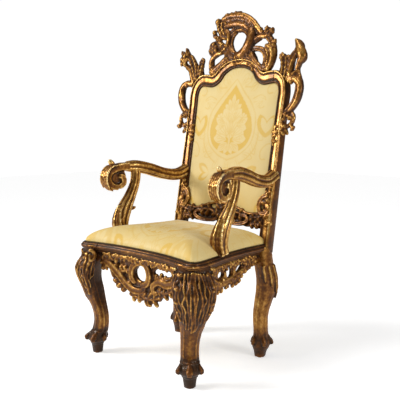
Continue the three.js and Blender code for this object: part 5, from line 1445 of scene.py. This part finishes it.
# Studio: the throne stands on a white paper floor, in soft light from a window ahead of it and a weak sun,
# with its shadow to the right. The camera is the photograph's, worked out from where the feet stand in it.
floor_mesh = bpy.data.meshes.new("floor")
floor_mesh.from_pydata([(-9, -9, 0), (9, -9, 0), (9, 9, 0), (-9, 9, 0)], [], [(0, 1, 2, 3)])
floor = bpy.data.objects.new("floor", floor_mesh)
bpy.context.scene.collection.objects.link(floor)
paper = bpy.data.materials.new("White paper")
paper.use_nodes = True
wire(paper.node_tree, paper.node_tree.nodes["Principled BSDF"], Base_Color=(0.8, 0.8, 0.8, 1),
     Roughness=0.7, Emission_Color=(1, 1, 1, 1), Emission_Strength=0.50)
floor_mesh.materials.append(paper)
world = bpy.data.worlds.new("Studio")
world.use_nodes = True
tree = world.node_tree
backdrop = tree.nodes["Background"]
wire(tree, backdrop, Color=(1, 1, 1, 1), Strength=1.02)
where = add_node(tree, "ShaderNodeTexCoord")
parts = add_node(tree, "ShaderNodeSeparateXYZ", _0=where.outputs["Generated"])
rise = add_node(tree, "ShaderNodeMapRange", Value=parts.outputs["Z"], From_Min=0.15, From_Max=0.95,
                To_Min=0.06, To_Max=0.62)
dome = add_node(tree, "ShaderNodeBackground", Strength=rise.outputs[0])
seen = add_node(tree, "ShaderNodeLightPath")
mixed = add_node(tree, "ShaderNodeMixShader", _0=seen.outputs["Is Camera Ray"], _1=dome.outputs[0],
                 _2=backdrop.outputs[0])
wire(tree, tree.nodes["World Output"], Surface=mixed.outputs[0])
bpy.context.scene.world = world
sun = bpy.data.lights.new("key", "SUN")
sun.energy = 1.1
sun.angle = math.radians(24)
key = bpy.data.objects.new("key", sun)
key.rotation_euler = (Vector((1.4, 2.0, -3.4))).to_track_quat("-Z", "Y").to_euler()
bpy.context.scene.collection.objects.link(key)
for name, place, size, power in (("window", (-2.4, -2.6, 1.9), 0.9, 85),
                                 ("fill", (3.3, 0.3, 1.5), 0.9, 42)):
    light = bpy.data.lights.new(name, "AREA")
    light.size = size
    light.energy = power
    lamp = bpy.data.objects.new(name, light)
    lamp.location = place
    lamp.rotation_euler = (Vector((0, 0, 0.7)) - Vector(place)).to_track_quat("-Z", "Y").to_euler()
    bpy.context.scene.collection.objects.link(lamp)
focal_px, photo_px, sensor_mm = 686.9, 400, 36
eye = bpy.data.cameras.new("camera")
eye.lens = focal_px / photo_px * sensor_mm
camera = bpy.data.objects.new("camera", eye)
camera.location = (2.045, -1.985, 0.976)
pitch = math.radians(6.527)
aim = Vector((-math.sqrt(0.5) * math.cos(pitch), math.sqrt(0.5) * math.cos(pitch), -math.sin(pitch)))
camera.rotation_euler = aim.to_track_quat("-Z", "Y").to_euler()
bpy.context.scene.collection.objects.link(camera)
bpy.context.scene.camera = camera
bpy.context.scene.view_settings.view_transform = "Standard"
